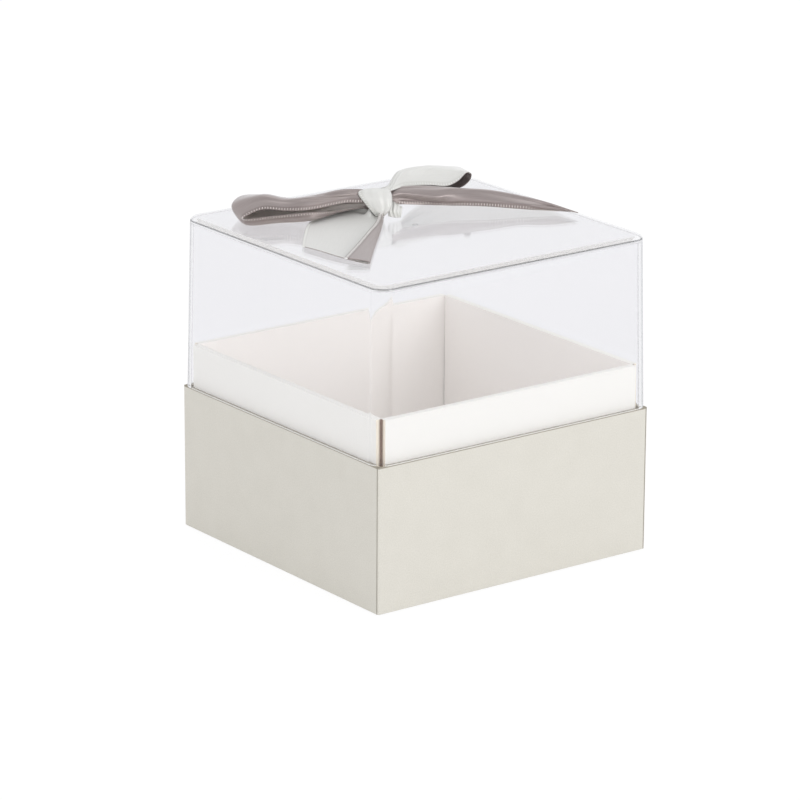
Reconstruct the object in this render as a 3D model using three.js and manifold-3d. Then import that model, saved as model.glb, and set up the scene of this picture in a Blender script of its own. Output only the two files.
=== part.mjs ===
// Flower box with a wrapped board base, a white board neck and a clear moulded lid with a ribbon bow.
// Millimetres, +Z up. The origin is the middle of the underside, and the front of the box faces -Y.

import * as THREE from 'three';
import { mergeVertices } from 'three/addons/utils/BufferGeometryUtils.js';
import Module from 'manifold-3d';

const wasm = await Module();
wasm.setup();

// Driving sizes of the base
const BASE_WIDTH = 120;
const BASE_HEIGHT = 54;
const BASE_CORNER = 0.8;
const GREYBOARD = 1.2;
const WRAP_PAPER = 0.25;
const LINING_PAPER = 0.3;
const STAY_PAPER = 0.2;
const STAY_LEG = 14;
const GLUE_LINE = 0.1;
const TURN_IN = 15;
const TURN_UNDER = 16;
const BOTTOM_SHEET_INSET = 3;
const LINING_CLEARANCE = 0.6;
const SEAM_FROM_CORNER = 0.6;
const SEAM_WIDTH = 0.3;
const SEAM_DEPTH = 0.12;

// Driving sizes of the neck
const NECK_BOARD = 2.4;
const NECK_SHOWS = 16;
const NECK_FIT = 0.2;
const HALF_CUT = 2.1;
const BUTT_GAP = 0.3;
const TAPE_PAPER = 0.15;
const TAPE_LEG = 12;
const TAPE_MARGIN = 2;

// Driving sizes of the clear lid
const LID_HEIGHT = 63.8;
const LID_WALL = 1.5;
const LID_TOP = 2;
const LID_NECK_FIT = 1.5;
const LID_SEAT_GAP = 0.2;
const LID_DRAFT = 1;
const LID_CORNER = 6;
const LID_INNER_CORNER = 4.5;
const LID_EDGE_ROUND = 1.8;
const LID_INNER_ROUND = 1;
const GATE_WIDTH = 2.4;
const GATE_HEIGHT = 0.25;

// Driving sizes of the bow. The ribbon itself is 38 mm wide, and is gathered in the knot.
const RIBBON_THICK = 0.4;
const BOW_TURN = -36.7;
const KNOT_MIDDLE = [-14, 9.6];
const KNOT_LOW = 1.4;
const KNOT_HIGH = 11;
const KNOT_HALF_DEPTH = 4.6;
const KNOT_HALF_WIDTH_TOP = 5.2;
const KNOT_HALF_WIDTH_LOW = 3.4;
const KNOT_LEAN = 1.8;
const GLUE_DOT_WIDTH = 6;
const RIBBON_SEAT = 0.3;

// Guide points of the ribbon in the bow's own frame: X along the bow, Y to its back, Z up from the
// lid. Each line is read across the ribbon, from its back edge to its front edge, and the lines
// follow one another along the ribbon, away from the knot.
const LEFT_LOOP = [
  [[-20, 14.5, 6], [-20, 13, 7.8], [-20, 10, 8.9], [-20, 7.4, 8.4], [-20, 5.6, 6.6]],
  [[-26, 23, 3.4], [-26, 15, 7.4], [-25.5, 7, 9.3], [-25.5, 5.5, 8.1], [-26, 4.9, 6.5]],
  [[-34, 30, 1.8], [-35.5, 18, 5.8], [-37, 5.2, 8.9], [-37, 3.2, 7.5], [-37.5, 1.9, 4.8]],
  [[-43, 29, 1.8], [-44.5, 18, 4.6], [-46, 6, 7.9], [-46, 2.4, 7.2], [-46, -0.8, 5.2]],
  [[-51.5, 30, 2.4], [-53, 18, 6.1], [-54.9, 7, 9], [-54.6, 3, 7.6], [-54.4, -0.8, 5.6]],
  [[-58.5, 28, 3.1], [-63, 17, 5.7], [-65.5, 9, 5], [-63.4, 3.5, 3.8], [-60.8, -1, 2.8]],
  [[-55, 29.5, 1], [-60, 19, 1], [-61, 8, 0.8], [-60, -3.6, 0.7], [-59.3, -2.6, 2.4]],
  [[-46, 28.4, 0.7], [-47, 18, 0.6], [-48, 8, 0.6], [-48.5, -0.6, 0.7], [-48.3, 1, 2.7]],
  [[-35, 29, 0.8], [-36, 18, 1.8], [-37, 10, 2], [-37, -2.4, 2.2], [-37.6, 1.2, 3.9]],
  [[-27, 22, 2.4], [-27, 17, 3.2], [-27, 11, 3.4], [-27, 5.6, 3.2], [-27, 4.4, 3.9]],
  [[-20, 13.5, 4.4], [-20, 12, 4], [-20, 10, 4], [-20, 7.6, 4.1], [-20, 6, 4.6]],
];
const RIGHT_LOOP = [
  [[-9.4, 13.6, 9.6], [-9.4, 12.8, 10.2], [-9.4, 11.6, 10.5], [-9.4, 10.4, 10.3], [-9.4, 9.6, 9.8]],
  [[-3, 40, 7], [-4, 32, 11], [-4.5, 25, 12.6], [-4, 22.4, 10.7], [-4, 21.4, 8]],
  [[5, 57, 5], [3, 42, 10.4], [1.5, 28, 13.7], [2.5, 26.6, 11], [3.5, 26.6, 7.7]],
  [[12, 60, 5], [10.6, 44, 10.1], [9.6, 28.4, 13.7], [11.2, 28.6, 10.4], [12.4, 30.2, 6.5]],
  [[18.4, 59, 4.8], [17.4, 45, 8.6], [16.4, 31, 12.4], [17.4, 29.6, 12.6], [18.6, 28.6, 12.2]],
  [[19.2, 58.5, 4], [19, 45, 7], [18.6, 32, 10.4], [19.4, 29.4, 11], [20.3, 28, 11.4]],
  [[18.6, 57.5, 3.2], [18, 44, 5], [17.4, 34, 7.6], [18.2, 30.6, 7.8], [18.9, 29.2, 7.8]],
  [[12, 56, 2.6], [12, 46, 3.4], [10.6, 35, 4.8], [9.6, 31.5, 5.6], [8.6, 29.6, 6.2]],
  [[0, 42, 4.6], [0, 34, 5.4], [-1, 27, 6.2], [-1, 24, 6.6], [-1, 22.4, 7]],
  [[-8.8, 14.8, 7], [-8.8, 14.4, 7.4], [-8.8, 14, 7.8], [-8.8, 13.4, 8.3], [-8.8, 12.8, 8.8]],
];
const RIGHT_TAIL = [
  [[-8.4, 13.6, 5], [-8.4, 12.6, 7.2], [-8.4, 10.8, 8.4], [-8.4, 11.8, 5.6], [-8.4, 12.2, 4]],
  [[-1, 18.4, 3.6], [-1, 15.8, 7], [-1, 13.4, 9.1], [-0.4, 12.4, 7.2], [0, 15.4, 3.6]],
  [[4.6, 26, 1.8], [6.4, 20, 5.8], [7.4, 15.4, 9.5], [7.8, 14.8, 6.6], [8, 17.4, 2.9]],
  [[11, 32, 0.9], [13.4, 24, 4.6], [15.9, 16.1, 9.5], [16, 17.6, 5.6], [16, 19.8, 2.2]],
  [[19, 38, 0.9], [23, 27, 4.6], [27, 17.1, 8.6], [27, 17.8, 5.3], [27, 19.4, 2]],
  [[27, 39, 0.8], [32.5, 28, 3.6], [38, 17.4, 7], [37.6, 17.4, 4.2], [37.5, 18, 1.7]],
  [[35, 38, 0.7], [41, 27, 2], [47.6, 14.6, 4.7], [45.5, 16, 3], [44.5, 17.1, 1.3]],
  [[42, 33, 0.7], [50, 23, 0.9], [58.8, 12.4, 1.6], [54.5, 15, 1.3], [50.5, 17.3, 1]],
];
const FRONT_TAIL = [
  [[-21.5, 8.6, 2.2], [-19.5, 7.4, 2.5], [-17.5, 6, 2.6], [-15, 4.2, 2.4],
    [-11.4, 2.4, 1.4], [-11.4, 2, 2.4], [-13.2, 1.6, 3.2]],
  [[-31, 6.4, 1.3], [-26, 2.4, 1.6], [-21, -1.4, 1.6], [-16, -4.8, 1.4],
    [-11.2, -7.5, 0.9], [-11.4, -7.7, 1.9], [-14.4, -8.2, 2.7]],
  [[-37.8, -2.6, 1.2], [-31, -8.4, 1.5], [-25, -12.6, 1.4], [-19, -16, 1.1],
    [-12.4, -18.5, 0.8], [-12.6, -18.7, 1.7], [-17, -19.5, 2.5]],
  [[-39, -20, 1.5], [-32.6, -24.5, 1.4], [-26.5, -28, 1.2], [-20, -31.5, 1],
    [-13.7, -34, 0.7], [-13.9, -34.1, 1.6], [-20.3, -34.5, 2.2]],
  [[-39.5, -35.8, 1.6], [-33.5, -41.4, 1.5], [-27.5, -47.6, 1.3], [-22, -51.4, 0.9],
    [-16.2, -54.6, 0.7], [-16.4, -54.5, 1.6], [-24.5, -52.3, 2.1]],
];
const KNOT_FOLD = [
  [[-8.9, 8.8, 6], [-8.7, 7.4, 4.4], [-8.9, 7, 2]],
  [[-7, 9.4, 6], [-6.2, 7.8, 4], [-7, 7.2, 1.2]],
  [[-4.4, 10.4, 4.4], [-4.2, 9, 3.4], [-5.2, 8.4, 1]],
];

// Levels and faces that follow from them
const wrapInner = BASE_WIDTH / 2 - WRAP_PAPER;
const boardOuter = wrapInner - STAY_PAPER - 2 * GLUE_LINE;
const boardInner = boardOuter - GREYBOARD;
const turnInOuter = boardInner - GLUE_LINE;
const turnInInner = turnInOuter - WRAP_PAPER;
const neckOuter = turnInInner - NECK_FIT;
const neckInner = neckOuter - NECK_BOARD;
const wrapLow = LINING_PAPER + GLUE_LINE;
const floorLow = wrapLow + WRAP_PAPER + GLUE_LINE;
const floorTop = floorLow + GREYBOARD;
const boardTop = BASE_HEIGHT - WRAP_PAPER - GLUE_LINE;
const liningLow = floorTop + GLUE_LINE;
const neckLow = liningLow + LINING_PAPER + GLUE_LINE;
const neckTop = BASE_HEIGHT + NECK_SHOWS;
const lidLow = BASE_HEIGHT + LID_SEAT_GAP;
const lidHigh = lidLow + LID_HEIGHT;
const lidHalfLow = neckOuter + LID_NECK_FIT + LID_WALL;
const draftSlope = Math.tan(THREE.MathUtils.degToRad(LID_DRAFT));

// Materials, one for each kind of surface
function finish(color, roughness, extra = {}) {
  return new THREE.MeshStandardMaterial({ color, roughness, metalness: 0, ...extra });
}

const greyboard = () => finish(0xa9a39a, 0.95);
const kraftPaper = () => finish(0xb89a78, 0.9);
const wrapPaper = () => finish(0xd8d4cb, 0.85);
const whiteBoard = () => finish(0xf2f0ec, 0.8);
const clearPlastic = () => finish(0xf4f6f7, 0.05, { transparent: true, opacity: 0.25 });
const clearGlue = () => finish(0xf0f0ea, 0.3, { transparent: true, opacity: 0.5 });
const taupeSatin = () => finish(0xa89e9a, 0.4);
const paleSatin = () => finish(0xdcddd9, 0.45);

// Joining and cutting closed meshes
function solidOf(geometry) {
  geometry.deleteAttribute('normal');
  geometry.deleteAttribute('uv');
  const merged = mergeVertices(geometry, 1e-4);
  const mesh = new wasm.Mesh({
    numProp: 3,
    vertProperties: new Float32Array(merged.attributes.position.array),
    triVerts: new Uint32Array(merged.index.array),
  });
  return new wasm.Manifold(mesh);
}

function geometryOf(solid) {
  const mesh = solid.getMesh();
  const geometry = new THREE.BufferGeometry();
  geometry.setAttribute('position', new THREE.BufferAttribute(new Float32Array(mesh.vertProperties), 3));
  geometry.setIndex(new THREE.BufferAttribute(new Uint32Array(mesh.triVerts), 1));
  return geometry;
}

function meshFrom(points, index) {
  const geometry = new THREE.BufferGeometry();
  geometry.setAttribute('position', new THREE.Float32BufferAttribute(points.flat(), 3));
  geometry.setIndex(index);
  return geometry;
}

function box(x0, x1, y0, y1, z0, z1) {
  const block = new THREE.BoxGeometry(x1 - x0, y1 - y0, z1 - z0);
  block.translate((x0 + x1) / 2, (y0 + y1) / 2, (z0 + z1) / 2);
  return solidOf(block);
}

function squareBlock(half, low, high) {
  return box(-half, half, -half, half, low, high);
}

// A block with round upright corners
function roundBlock(half, radius, low, high) {
  const flat = half - radius;
  const outline = new THREE.Shape();
  outline.absarc(flat, flat, radius, 0, Math.PI / 2);
  outline.absarc(-flat, flat, radius, Math.PI / 2, Math.PI);
  outline.absarc(-flat, -flat, radius, Math.PI, 1.5 * Math.PI);
  outline.absarc(flat, -flat, radius, 1.5 * Math.PI, 2 * Math.PI);
  const depth = high - low;
  const block = new THREE.ExtrudeGeometry(outline, { depth, bevelEnabled: false, curveSegments: 4 });
  block.translate(0, 0, low);
  return solidOf(block);
}

// The tray: one blank of greyboard, scored and folded up into a floor and four walls
function trayBoard() {
  const outside = squareBlock(boardOuter, floorLow, boardTop);
  const inside = squareBlock(boardInner, floorTop, boardTop + 1);
  return outside.subtract(inside);
}

// A sheet folded round an upright corner, with its two legs along +X and +Y walls
function cornerSheet(inner, thick, leg, low, high) {
  const outer = inner + thick;
  const start = inner - leg;
  const whole = box(start, outer, start, outer, low, high);
  return whole.subtract(box(start - 1, inner, start - 1, inner, low - 1, high + 1));
}

function cornerStay() {
  return cornerSheet(boardOuter + GLUE_LINE, STAY_PAPER, STAY_LEG, floorLow, boardTop - GLUE_LINE);
}

// The wrap: covers the walls, turns in over the rim and turns under the floor. Its side panels end
// just round each upright corner, where the paper's cut edge shows as a seam.
function wrapSheet() {
  const half = BASE_WIDTH / 2;
  const turnInLow = BASE_HEIGHT - TURN_IN;
  const seamEnd = half - SEAM_FROM_CORNER;
  const seam = box(half - SEAM_DEPTH, half + 1, seamEnd - SEAM_WIDTH, seamEnd, wrapLow + 1, BASE_HEIGHT + 1);
  const turnIn = squareBlock(turnInOuter, turnInLow, BASE_HEIGHT)
    .subtract(squareBlock(turnInInner, turnInLow - 1, BASE_HEIGHT + 1));
  const skin = roundBlock(half, BASE_CORNER, wrapLow, BASE_HEIGHT)
    .subtract(squareBlock(wrapInner, wrapLow + WRAP_PAPER, BASE_HEIGHT - WRAP_PAPER))
    .subtract(squareBlock(turnInInner, turnInLow, BASE_HEIGHT + 1))
    .subtract(squareBlock(half - TURN_UNDER, 0, floorLow))
    .add(turnIn);
  return [0, 90, 180, 270].reduce((left, turn) => left.subtract(seam.rotate([0, 0, turn])), skin);
}

function bottomSheet() {
  return squareBlock(BASE_WIDTH / 2 - BOTTOM_SHEET_INSET, 0, LINING_PAPER);
}

function floorLining() {
  return squareBlock(turnInInner - LINING_CLEARANCE, liningLow, liningLow + LINING_PAPER);
}

// The neck: one strip of white board, cut nearly through on the outside of three corners and folded,
// so that each cut opens as a square notch. Its two ends meet in the back corner, and leave a notch
// of the same width there.
function neckStrip() {
  const ring = squareBlock(neckOuter, neckLow, neckTop)
    .subtract(squareBlock(neckInner, neckLow - 1, neckTop + 1));
  const cut = neckOuter - HALF_CUT;
  const past = neckOuter + 1;
  const notch = box(cut, past, cut, past, 0, neckTop + 1);
  const backNotch = box(cut, past, neckInner - BUTT_GAP, past, 0, neckTop + 1);
  const butt = box(neckInner - 1, past, neckInner - BUTT_GAP, neckInner, 0, neckTop + 1);
  return [90, 180, 270]
    .reduce((left, turn) => left.subtract(notch.rotate([0, 0, turn])), ring)
    .subtract(backNotch)
    .subtract(butt);
}

// The tape joins the two ends on the outside, where the base hides it
function neckTape() {
  const low = neckLow + TAPE_MARGIN;
  const high = BASE_HEIGHT - TURN_IN - TAPE_MARGIN;
  return cornerSheet(neckOuter + GLUE_LINE, TAPE_PAPER, TAPE_LEG, low, high);
}

// One level outline of the lid
function lidRing(half, radius, level) {
  const steps = 7;
  const flat = half - radius;
  const ring = [];
  [[1, 1], [-1, 1], [-1, -1], [1, -1]].forEach(([sideX, sideY], corner) => {
    for (let step = 0; step <= steps; step += 1) {
      const angle = (corner + step / steps) * Math.PI / 2;
      ring.push([sideX * flat + radius * Math.cos(angle), sideY * flat + radius * Math.sin(angle), level]);
    }
  });
  return ring;
}

// The lid: outlines from the middle of its inside, down the inner face, under the edge, up the outer
// face, over the round edge and in to the gate mark in the middle of the top
function clearShell() {
  const steps = 4;
  const innerTop = lidHigh - LID_TOP;
  const outerHalf = (level) => lidHalfLow - (level - lidLow) * draftSlope;
  const innerHalf = (level) => outerHalf(level) - LID_WALL;
  const rings = [];
  for (let step = steps; step >= 0; step -= 1) {
    const angle = step / steps * Math.PI / 2;
    const inset = LID_INNER_ROUND * (1 - Math.cos(angle));
    const level = innerTop - LID_INNER_ROUND * (1 - Math.sin(angle));
    rings.push(lidRing(innerHalf(level) - inset, LID_INNER_CORNER - inset, level));
  }
  rings.push(lidRing(innerHalf(lidLow), LID_INNER_CORNER, lidLow));
  rings.push(lidRing(outerHalf(lidLow), LID_CORNER, lidLow));
  for (let step = 0; step <= steps; step += 1) {
    const angle = step / steps * Math.PI / 2;
    const inset = LID_EDGE_ROUND * (1 - Math.cos(angle));
    const level = lidHigh - LID_EDGE_ROUND * (1 - Math.sin(angle));
    rings.push(lidRing(outerHalf(level) - inset, LID_CORNER - inset, level));
  }
  const gate = new THREE.CylinderGeometry(GATE_WIDTH / 2 - GATE_HEIGHT, GATE_WIDTH / 2, 2 * GATE_HEIGHT, 16);
  gate.rotateX(Math.PI / 2);
  gate.translate(0, 0, lidHigh);
  return solidOf(closedRings(rings)).add(solidOf(gate));
}

// Skins a row of outlines of equal count, and closes the first and the last one over
function closedRings(rings) {
  const count = rings[0].length;
  const last = (rings.length - 1) * count;
  const index = [];
  for (let i = 0; i < last; i += 1) {
    const next = i % count === count - 1 ? i - count + 1 : i + 1;
    index.push(i, next, i + count, next, next + count, i + count);
  }
  for (let i = 1; i + 1 < count; i += 1) {
    index.push(0, i + 1, i);
    index.push(last, last + i, last + i + 1);
  }
  return meshFrom(rings.flat(), index);
}

// A smooth line through its guide points, at a share of its length in steps
function smoothPoint(points, share) {
  const place = share * (points.length - 1);
  const i = Math.min(Math.floor(place), points.length - 2);
  const t = place - i;
  const p1 = points[i];
  const p2 = points[i + 1];
  const p0 = i > 0 ? points[i - 1] : p1.map((v, k) => 2 * v - p2[k]);
  const p3 = i + 2 < points.length ? points[i + 2] : p2.map((v, k) => 2 * v - p1[k]);
  return p1.map((v, k) => v + 0.5 * t * (p2[k] - p0[k]
    + t * (2 * p0[k] - 5 * v + 4 * p2[k] - p3[k] + t * (3 * (v - p2[k]) + p3[k] - p0[k]))));
}

// A ribbon of even thickness through its guide points
function ribbon(guides, stepsAlong, stepsAcross) {
  const surface = [];
  for (let r = 0; r <= stepsAlong; r += 1) {
    const rails = guides[0].map((_, k) => smoothPoint(guides.map((line) => line[k]), r / stepsAlong));
    const row = [];
    for (let c = 0; c <= stepsAcross; c += 1) {
      row.push(new THREE.Vector3(...smoothPoint(rails, c / stepsAcross)));
    }
    surface.push(row);
  }
  const normalAt = (r, c) => {
    const along = surface[Math.min(r + 1, stepsAlong)][c].clone().sub(surface[Math.max(r - 1, 0)][c]);
    const across = surface[r][Math.min(c + 1, stepsAcross)].clone().sub(surface[r][Math.max(c - 1, 0)]);
    return along.cross(across).normalize().multiplyScalar(RIBBON_THICK / 2);
  };
  const rings = surface.map((row, r) => {
    const above = row.map((p, c) => p.clone().add(normalAt(r, c)).toArray());
    const below = row.map((p, c) => p.clone().sub(normalAt(r, c)).toArray());
    return [...above, ...below.reverse()];
  });
  return closedStrip(rings);
}

// Skins flat outlines, each of one upper and one lower row, and closes the two ends row to row
function closedStrip(rings) {
  const count = rings[0].length;
  const last = (rings.length - 1) * count;
  const index = [];
  for (let i = 0; i < last; i += 1) {
    const next = i % count === count - 1 ? i - count + 1 : i + 1;
    index.push(i, i + count, next, next, i + count, next + count);
  }
  for (let c = 0; c + 1 < count / 2; c += 1) {
    const opposite = count - 1 - c;
    index.push(c, c + 1, opposite, c + 1, opposite - 1, opposite);
    index.push(last + c, last + opposite, last + c + 1);
    index.push(last + c + 1, last + opposite, last + opposite - 1);
  }
  return solidOf(meshFrom(rings.flat(), index));
}

// The knot: the ribbon pulled tight round itself, wider at the top than at the bottom
function knotLump() {
  const turns = 20;
  const steps = 8;
  const middle = (KNOT_LOW + KNOT_HIGH) / 2;
  const halfHeight = (KNOT_HIGH - KNOT_LOW) / 2;
  const rings = [];
  for (let step = 0; step <= steps; step += 1) {
    const side = -1 + 2 * step / steps;
    const fullness = Math.sqrt(1 - 0.82 * side * side);
    const ring = [];
    for (let turn = 0; turn < turns; turn += 1) {
      const angle = turn / turns * 2 * Math.PI;
      const up = Math.sin(angle);
      const width = THREE.MathUtils.lerp(KNOT_HALF_WIDTH_LOW, KNOT_HALF_WIDTH_TOP, (up + 1) / 2);
      ring.push([
        KNOT_MIDDLE[0] + side * width - KNOT_LEAN * (up - 0.2) * 0.5,
        KNOT_MIDDLE[1] + KNOT_HALF_DEPTH * fullness * Math.cos(angle),
        middle + halfHeight * fullness * up,
      ]);
    }
    rings.push(ring);
  }
  return solidOf(closedRings(rings));
}

// The dot of clear glue under the knot
function glueDot() {
  const high = KNOT_LOW - RIBBON_SEAT;
  const dot = new THREE.CylinderGeometry(GLUE_DOT_WIDTH / 2 - 0.6, GLUE_DOT_WIDTH / 2, high - GLUE_LINE, 20);
  dot.rotateX(Math.PI / 2);
  dot.translate(...KNOT_MIDDLE, (high + GLUE_LINE) / 2);
  return solidOf(dot);
}

const model = new THREE.Group();

function addSolid(name, solid, material) {
  const mesh = new THREE.Mesh(geometryOf(solid), material);
  mesh.name = name;
  model.add(mesh);
}

function onLid(solid) {
  return solid.rotate([0, 0, BOW_TURN]).translate([0, 0, lidHigh]);
}

addSolid('base_tray', trayBoard(), greyboard());
['back_right', 'back_left', 'front_left', 'front_right'].forEach((place, turn) => {
  addSolid(`corner_stay_${place}`, cornerStay().rotate([0, 0, 90 * turn]), kraftPaper());
});
addSolid('base_wrap', wrapSheet(), wrapPaper());
addSolid('bottom_sheet', bottomSheet(), wrapPaper());
addSolid('floor_lining', floorLining(), whiteBoard());
addSolid('neck', neckStrip(), whiteBoard());
addSolid('neck_joint_tape', neckTape(), kraftPaper());
addSolid('clear_lid', clearShell(), clearPlastic());
addSolid('bow_left_loop', onLid(ribbon(LEFT_LOOP, 40, 14)), taupeSatin());
addSolid('bow_right_loop', onLid(ribbon(RIGHT_LOOP, 40, 14)), paleSatin());
addSolid('bow_right_tail', onLid(ribbon(RIGHT_TAIL, 24, 14)), taupeSatin());
addSolid('bow_front_tail', onLid(ribbon(FRONT_TAIL, 20, 18)), paleSatin());
addSolid('bow_knot_fold', onLid(ribbon(KNOT_FOLD, 6, 6)), paleSatin());
addSolid('bow_knot', onLid(knotLump()), paleSatin());
addSolid('glue_dot', onLid(glueDot()), clearGlue());

export default model;
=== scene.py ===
# %% [markdown]
# # A flower box with a clear lid and a satin bow
# The real box is a gift box of the shoulder kind: a board base covered in paper, a white neck that
# stands inside it, and a clear moulded lid that drops over the neck. A ribbon bow is stuck on the lid.
# The solids of the box come ready in the frame. This lesson gives them their finishes, and makes the
# lid and the ribbon again in finer detail, because gloss and cloth show every facet.

import math

import bpy
from mathutils import Matrix, Vector


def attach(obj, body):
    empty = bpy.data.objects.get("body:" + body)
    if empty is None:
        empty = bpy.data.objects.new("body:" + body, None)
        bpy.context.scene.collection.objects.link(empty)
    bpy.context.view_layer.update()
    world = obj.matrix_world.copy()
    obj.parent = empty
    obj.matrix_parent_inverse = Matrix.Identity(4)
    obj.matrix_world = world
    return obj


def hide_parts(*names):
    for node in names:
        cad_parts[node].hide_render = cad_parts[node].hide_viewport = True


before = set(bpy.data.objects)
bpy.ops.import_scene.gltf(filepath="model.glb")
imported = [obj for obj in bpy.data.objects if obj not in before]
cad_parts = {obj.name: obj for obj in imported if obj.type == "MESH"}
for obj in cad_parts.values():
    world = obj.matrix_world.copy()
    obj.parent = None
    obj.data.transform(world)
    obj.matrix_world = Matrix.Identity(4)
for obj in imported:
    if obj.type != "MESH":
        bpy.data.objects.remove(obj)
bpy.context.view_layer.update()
MM = 0.001

# %% [markdown]
# ## Camera
# The photograph looks down on the front corner from a little above, from far away, so that upright
# edges stay nearly parallel. The place was found by fitting the box's corners to the picture: a long
# lens keeps that flat look.

# %% Set the camera
CAMERA_PLACE = Vector((-0.89797, -1.19628, 0.5203))
CAMERA_RIGHT = Vector((0.8026, -0.5964, 0.0047))
CAMERA_UP = Vector((0.1745, 0.2423, 0.9544))
CAMERA_BACK = Vector((-0.5704, -0.7652, 0.2985))
LENS_MM = 194.94

eye = bpy.data.cameras.new("photo_view")
eye.lens = LENS_MM
eye.sensor_width = 36
eye.clip_end = 20
camera = bpy.data.objects.new("photo_view", eye)
turn = Matrix((CAMERA_RIGHT, CAMERA_UP, CAMERA_BACK)).transposed().to_4x4()
camera.matrix_world = Matrix.Translation(CAMERA_PLACE) @ turn
bpy.context.scene.collection.objects.link(camera)
bpy.context.scene.camera = camera
bpy.context.scene.view_settings.view_transform = "Standard"
print("camera", round(CAMERA_PLACE.length, 3), "m from the middle of the base")


# %% [markdown]
# ## Two helpers for materials
# Colours are written as sRGB hex values, as a colour picker shows them, and one function turns them
# into the linear values that the renderer mixes. A second function adds a node with its settings and
# its links, so that each material below reads like a short list. A Mix node has a set of sockets for
# each kind of value, and those for colours are known by number, so the numbers get names here.

# %% Colour and node helpers
def linear(code):
    parts = [int(code[i : i + 2], 16) / 255 for i in (1, 3, 5)]
    curve = [p / 12.92 if p <= 0.04045 else ((p + 0.055) / 1.055) ** 2.4 for p in parts]
    return (*curve, 1.0)


SHARE, FIRST, SECOND = 0, 6, 7
MIXED = 2


def add(tree, kind, inputs=None, **settings):
    made = tree.nodes.new(kind)
    for name, value in settings.items():
        setattr(made, name, value)
    for socket, value in (inputs or {}).items():
        if isinstance(value, bpy.types.NodeSocket):
            tree.links.new(value, made.inputs[socket])
        else:
            made.inputs[socket].default_value = value
    return made


def new_material(name):
    material = bpy.data.materials.new(name)
    material.use_nodes = True
    material.node_tree.nodes.clear()
    return material, material.node_tree


def surface(tree, shader):
    add(tree, "ShaderNodeOutputMaterial", {"Surface": shader})


print("linear mid grey:", [round(c, 3) for c in linear("#808080")])


# %% [markdown]
# ## Studio
# The box stands on a seamless pale floor in even daylight. A clear lid shows what is around it, so the
# room matters: nearly white at eye level, and greyer towards the ceiling. The background in the picture
# is pure white. A brighter lamp could do that, but it would bleach the box too, so the world asks Light
# Path who is looking: the camera sees white, bent and mirrored rays see the room, and all other rays
# get the light of the sky, which is a little weaker overhead than at the horizon.

# %% World
BACKDROP_TONE = "#f1f1f3"
SKY_TONE = "#fdfdff"
SKY_LIGHT = (1.0, 0.86)
CEILING_HEIGHTS = (0.6, 0.95)
CEILING_SHADE = 0.6


def room_rays(tree, path):
    seen = {0: path.outputs["Is Glossy Ray"], 1: path.outputs["Is Transmission Ray"]}
    return add(tree, "ShaderNodeMath", seen, operation="MAXIMUM").outputs[0]


def make_world():
    world = bpy.data.worlds.new("studio")
    world.use_nodes = True
    tree = world.node_tree
    tree.nodes.clear()
    path = add(tree, "ShaderNodeLightPath")
    place = add(tree, "ShaderNodeTexCoord")
    height = add(tree, "ShaderNodeSeparateXYZ", {0: place.outputs["Generated"]})
    ceiling = add(
        tree,
        "ShaderNodeMapRange",
        {
            "Value": height.outputs["Z"],
            "From Min": CEILING_HEIGHTS[0],
            "From Max": CEILING_HEIGHTS[1],
            "To Min": 1.0,
            "To Max": CEILING_SHADE,
        },
        interpolation_type="SMOOTHSTEP",
    )
    sky = add(
        tree,
        "ShaderNodeMapRange",
        {"Value": height.outputs["Z"], "To Min": SKY_LIGHT[0], "To Max": SKY_LIGHT[1]},
    )
    room = {"Color": linear(BACKDROP_TONE), "Strength": ceiling.outputs[0]}
    seen = add(tree, "ShaderNodeBackground", room)
    light = add(tree, "ShaderNodeBackground", {"Color": linear(SKY_TONE), "Strength": sky.outputs[0]})
    white = add(tree, "ShaderNodeBackground", {"Color": (1, 1, 1, 1), "Strength": 1.0})
    around = {0: room_rays(tree, path), 1: light.outputs[0], 2: seen.outputs[0]}
    first = add(tree, "ShaderNodeMixShader", around)
    last = {0: path.outputs["Is Camera Ray"], 1: first.outputs[0], 2: white.outputs[0]}
    second = add(tree, "ShaderNodeMixShader", last)
    add(tree, "ShaderNodeOutputWorld", {"Surface": second.outputs[0]})
    bpy.context.scene.world = world


make_world()
print("sky from", SKY_LIGHT[0], "to", SKY_LIGHT[1], "and ceiling down to", CEILING_SHADE)

# %% [markdown]
# ## Floor
# The floor is white paper that rolls out of the picture. It works as the world does: most of what the
# camera and the lid see of it is its own even glow, and the rest is plain paper, which keeps the
# shadow of the box faint, as on an overlit sweep. Soft light always meets the plain paper.

# %% Floor
PAPER_TONE = (0.88, 0.88, 0.88, 1)
FLOOR_GLOW = 1.05
FLOOR_GLOW_SHARE = 0.86
FLOOR_REACH_M = 6.0


def sweep_finish():
    material, tree = new_material("white_paper_sweep")
    paper = add(tree, "ShaderNodeBsdfDiffuse", {"Color": PAPER_TONE})
    path = add(tree, "ShaderNodeLightPath")
    tone = add(
        tree,
        "ShaderNodeMix",
        {SHARE: path.outputs["Is Camera Ray"], FIRST: linear(BACKDROP_TONE), SECOND: (1, 1, 1, 1)},
        data_type="RGBA",
    )
    glow = add(tree, "ShaderNodeEmission", {"Color": tone.outputs[MIXED], "Strength": FLOOR_GLOW})
    eyes = {0: room_rays(tree, path), 1: path.outputs["Is Camera Ray"]}
    either = add(tree, "ShaderNodeMath", eyes, operation="MAXIMUM")
    part = {0: either.outputs[0], 1: FLOOR_GLOW_SHARE}
    share = add(tree, "ShaderNodeMath", part, operation="MULTIPLY")
    both = {0: share.outputs[0], 1: paper.outputs[0], 2: glow.outputs[0]}
    surface(tree, add(tree, "ShaderNodeMixShader", both).outputs[0])
    return material


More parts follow.
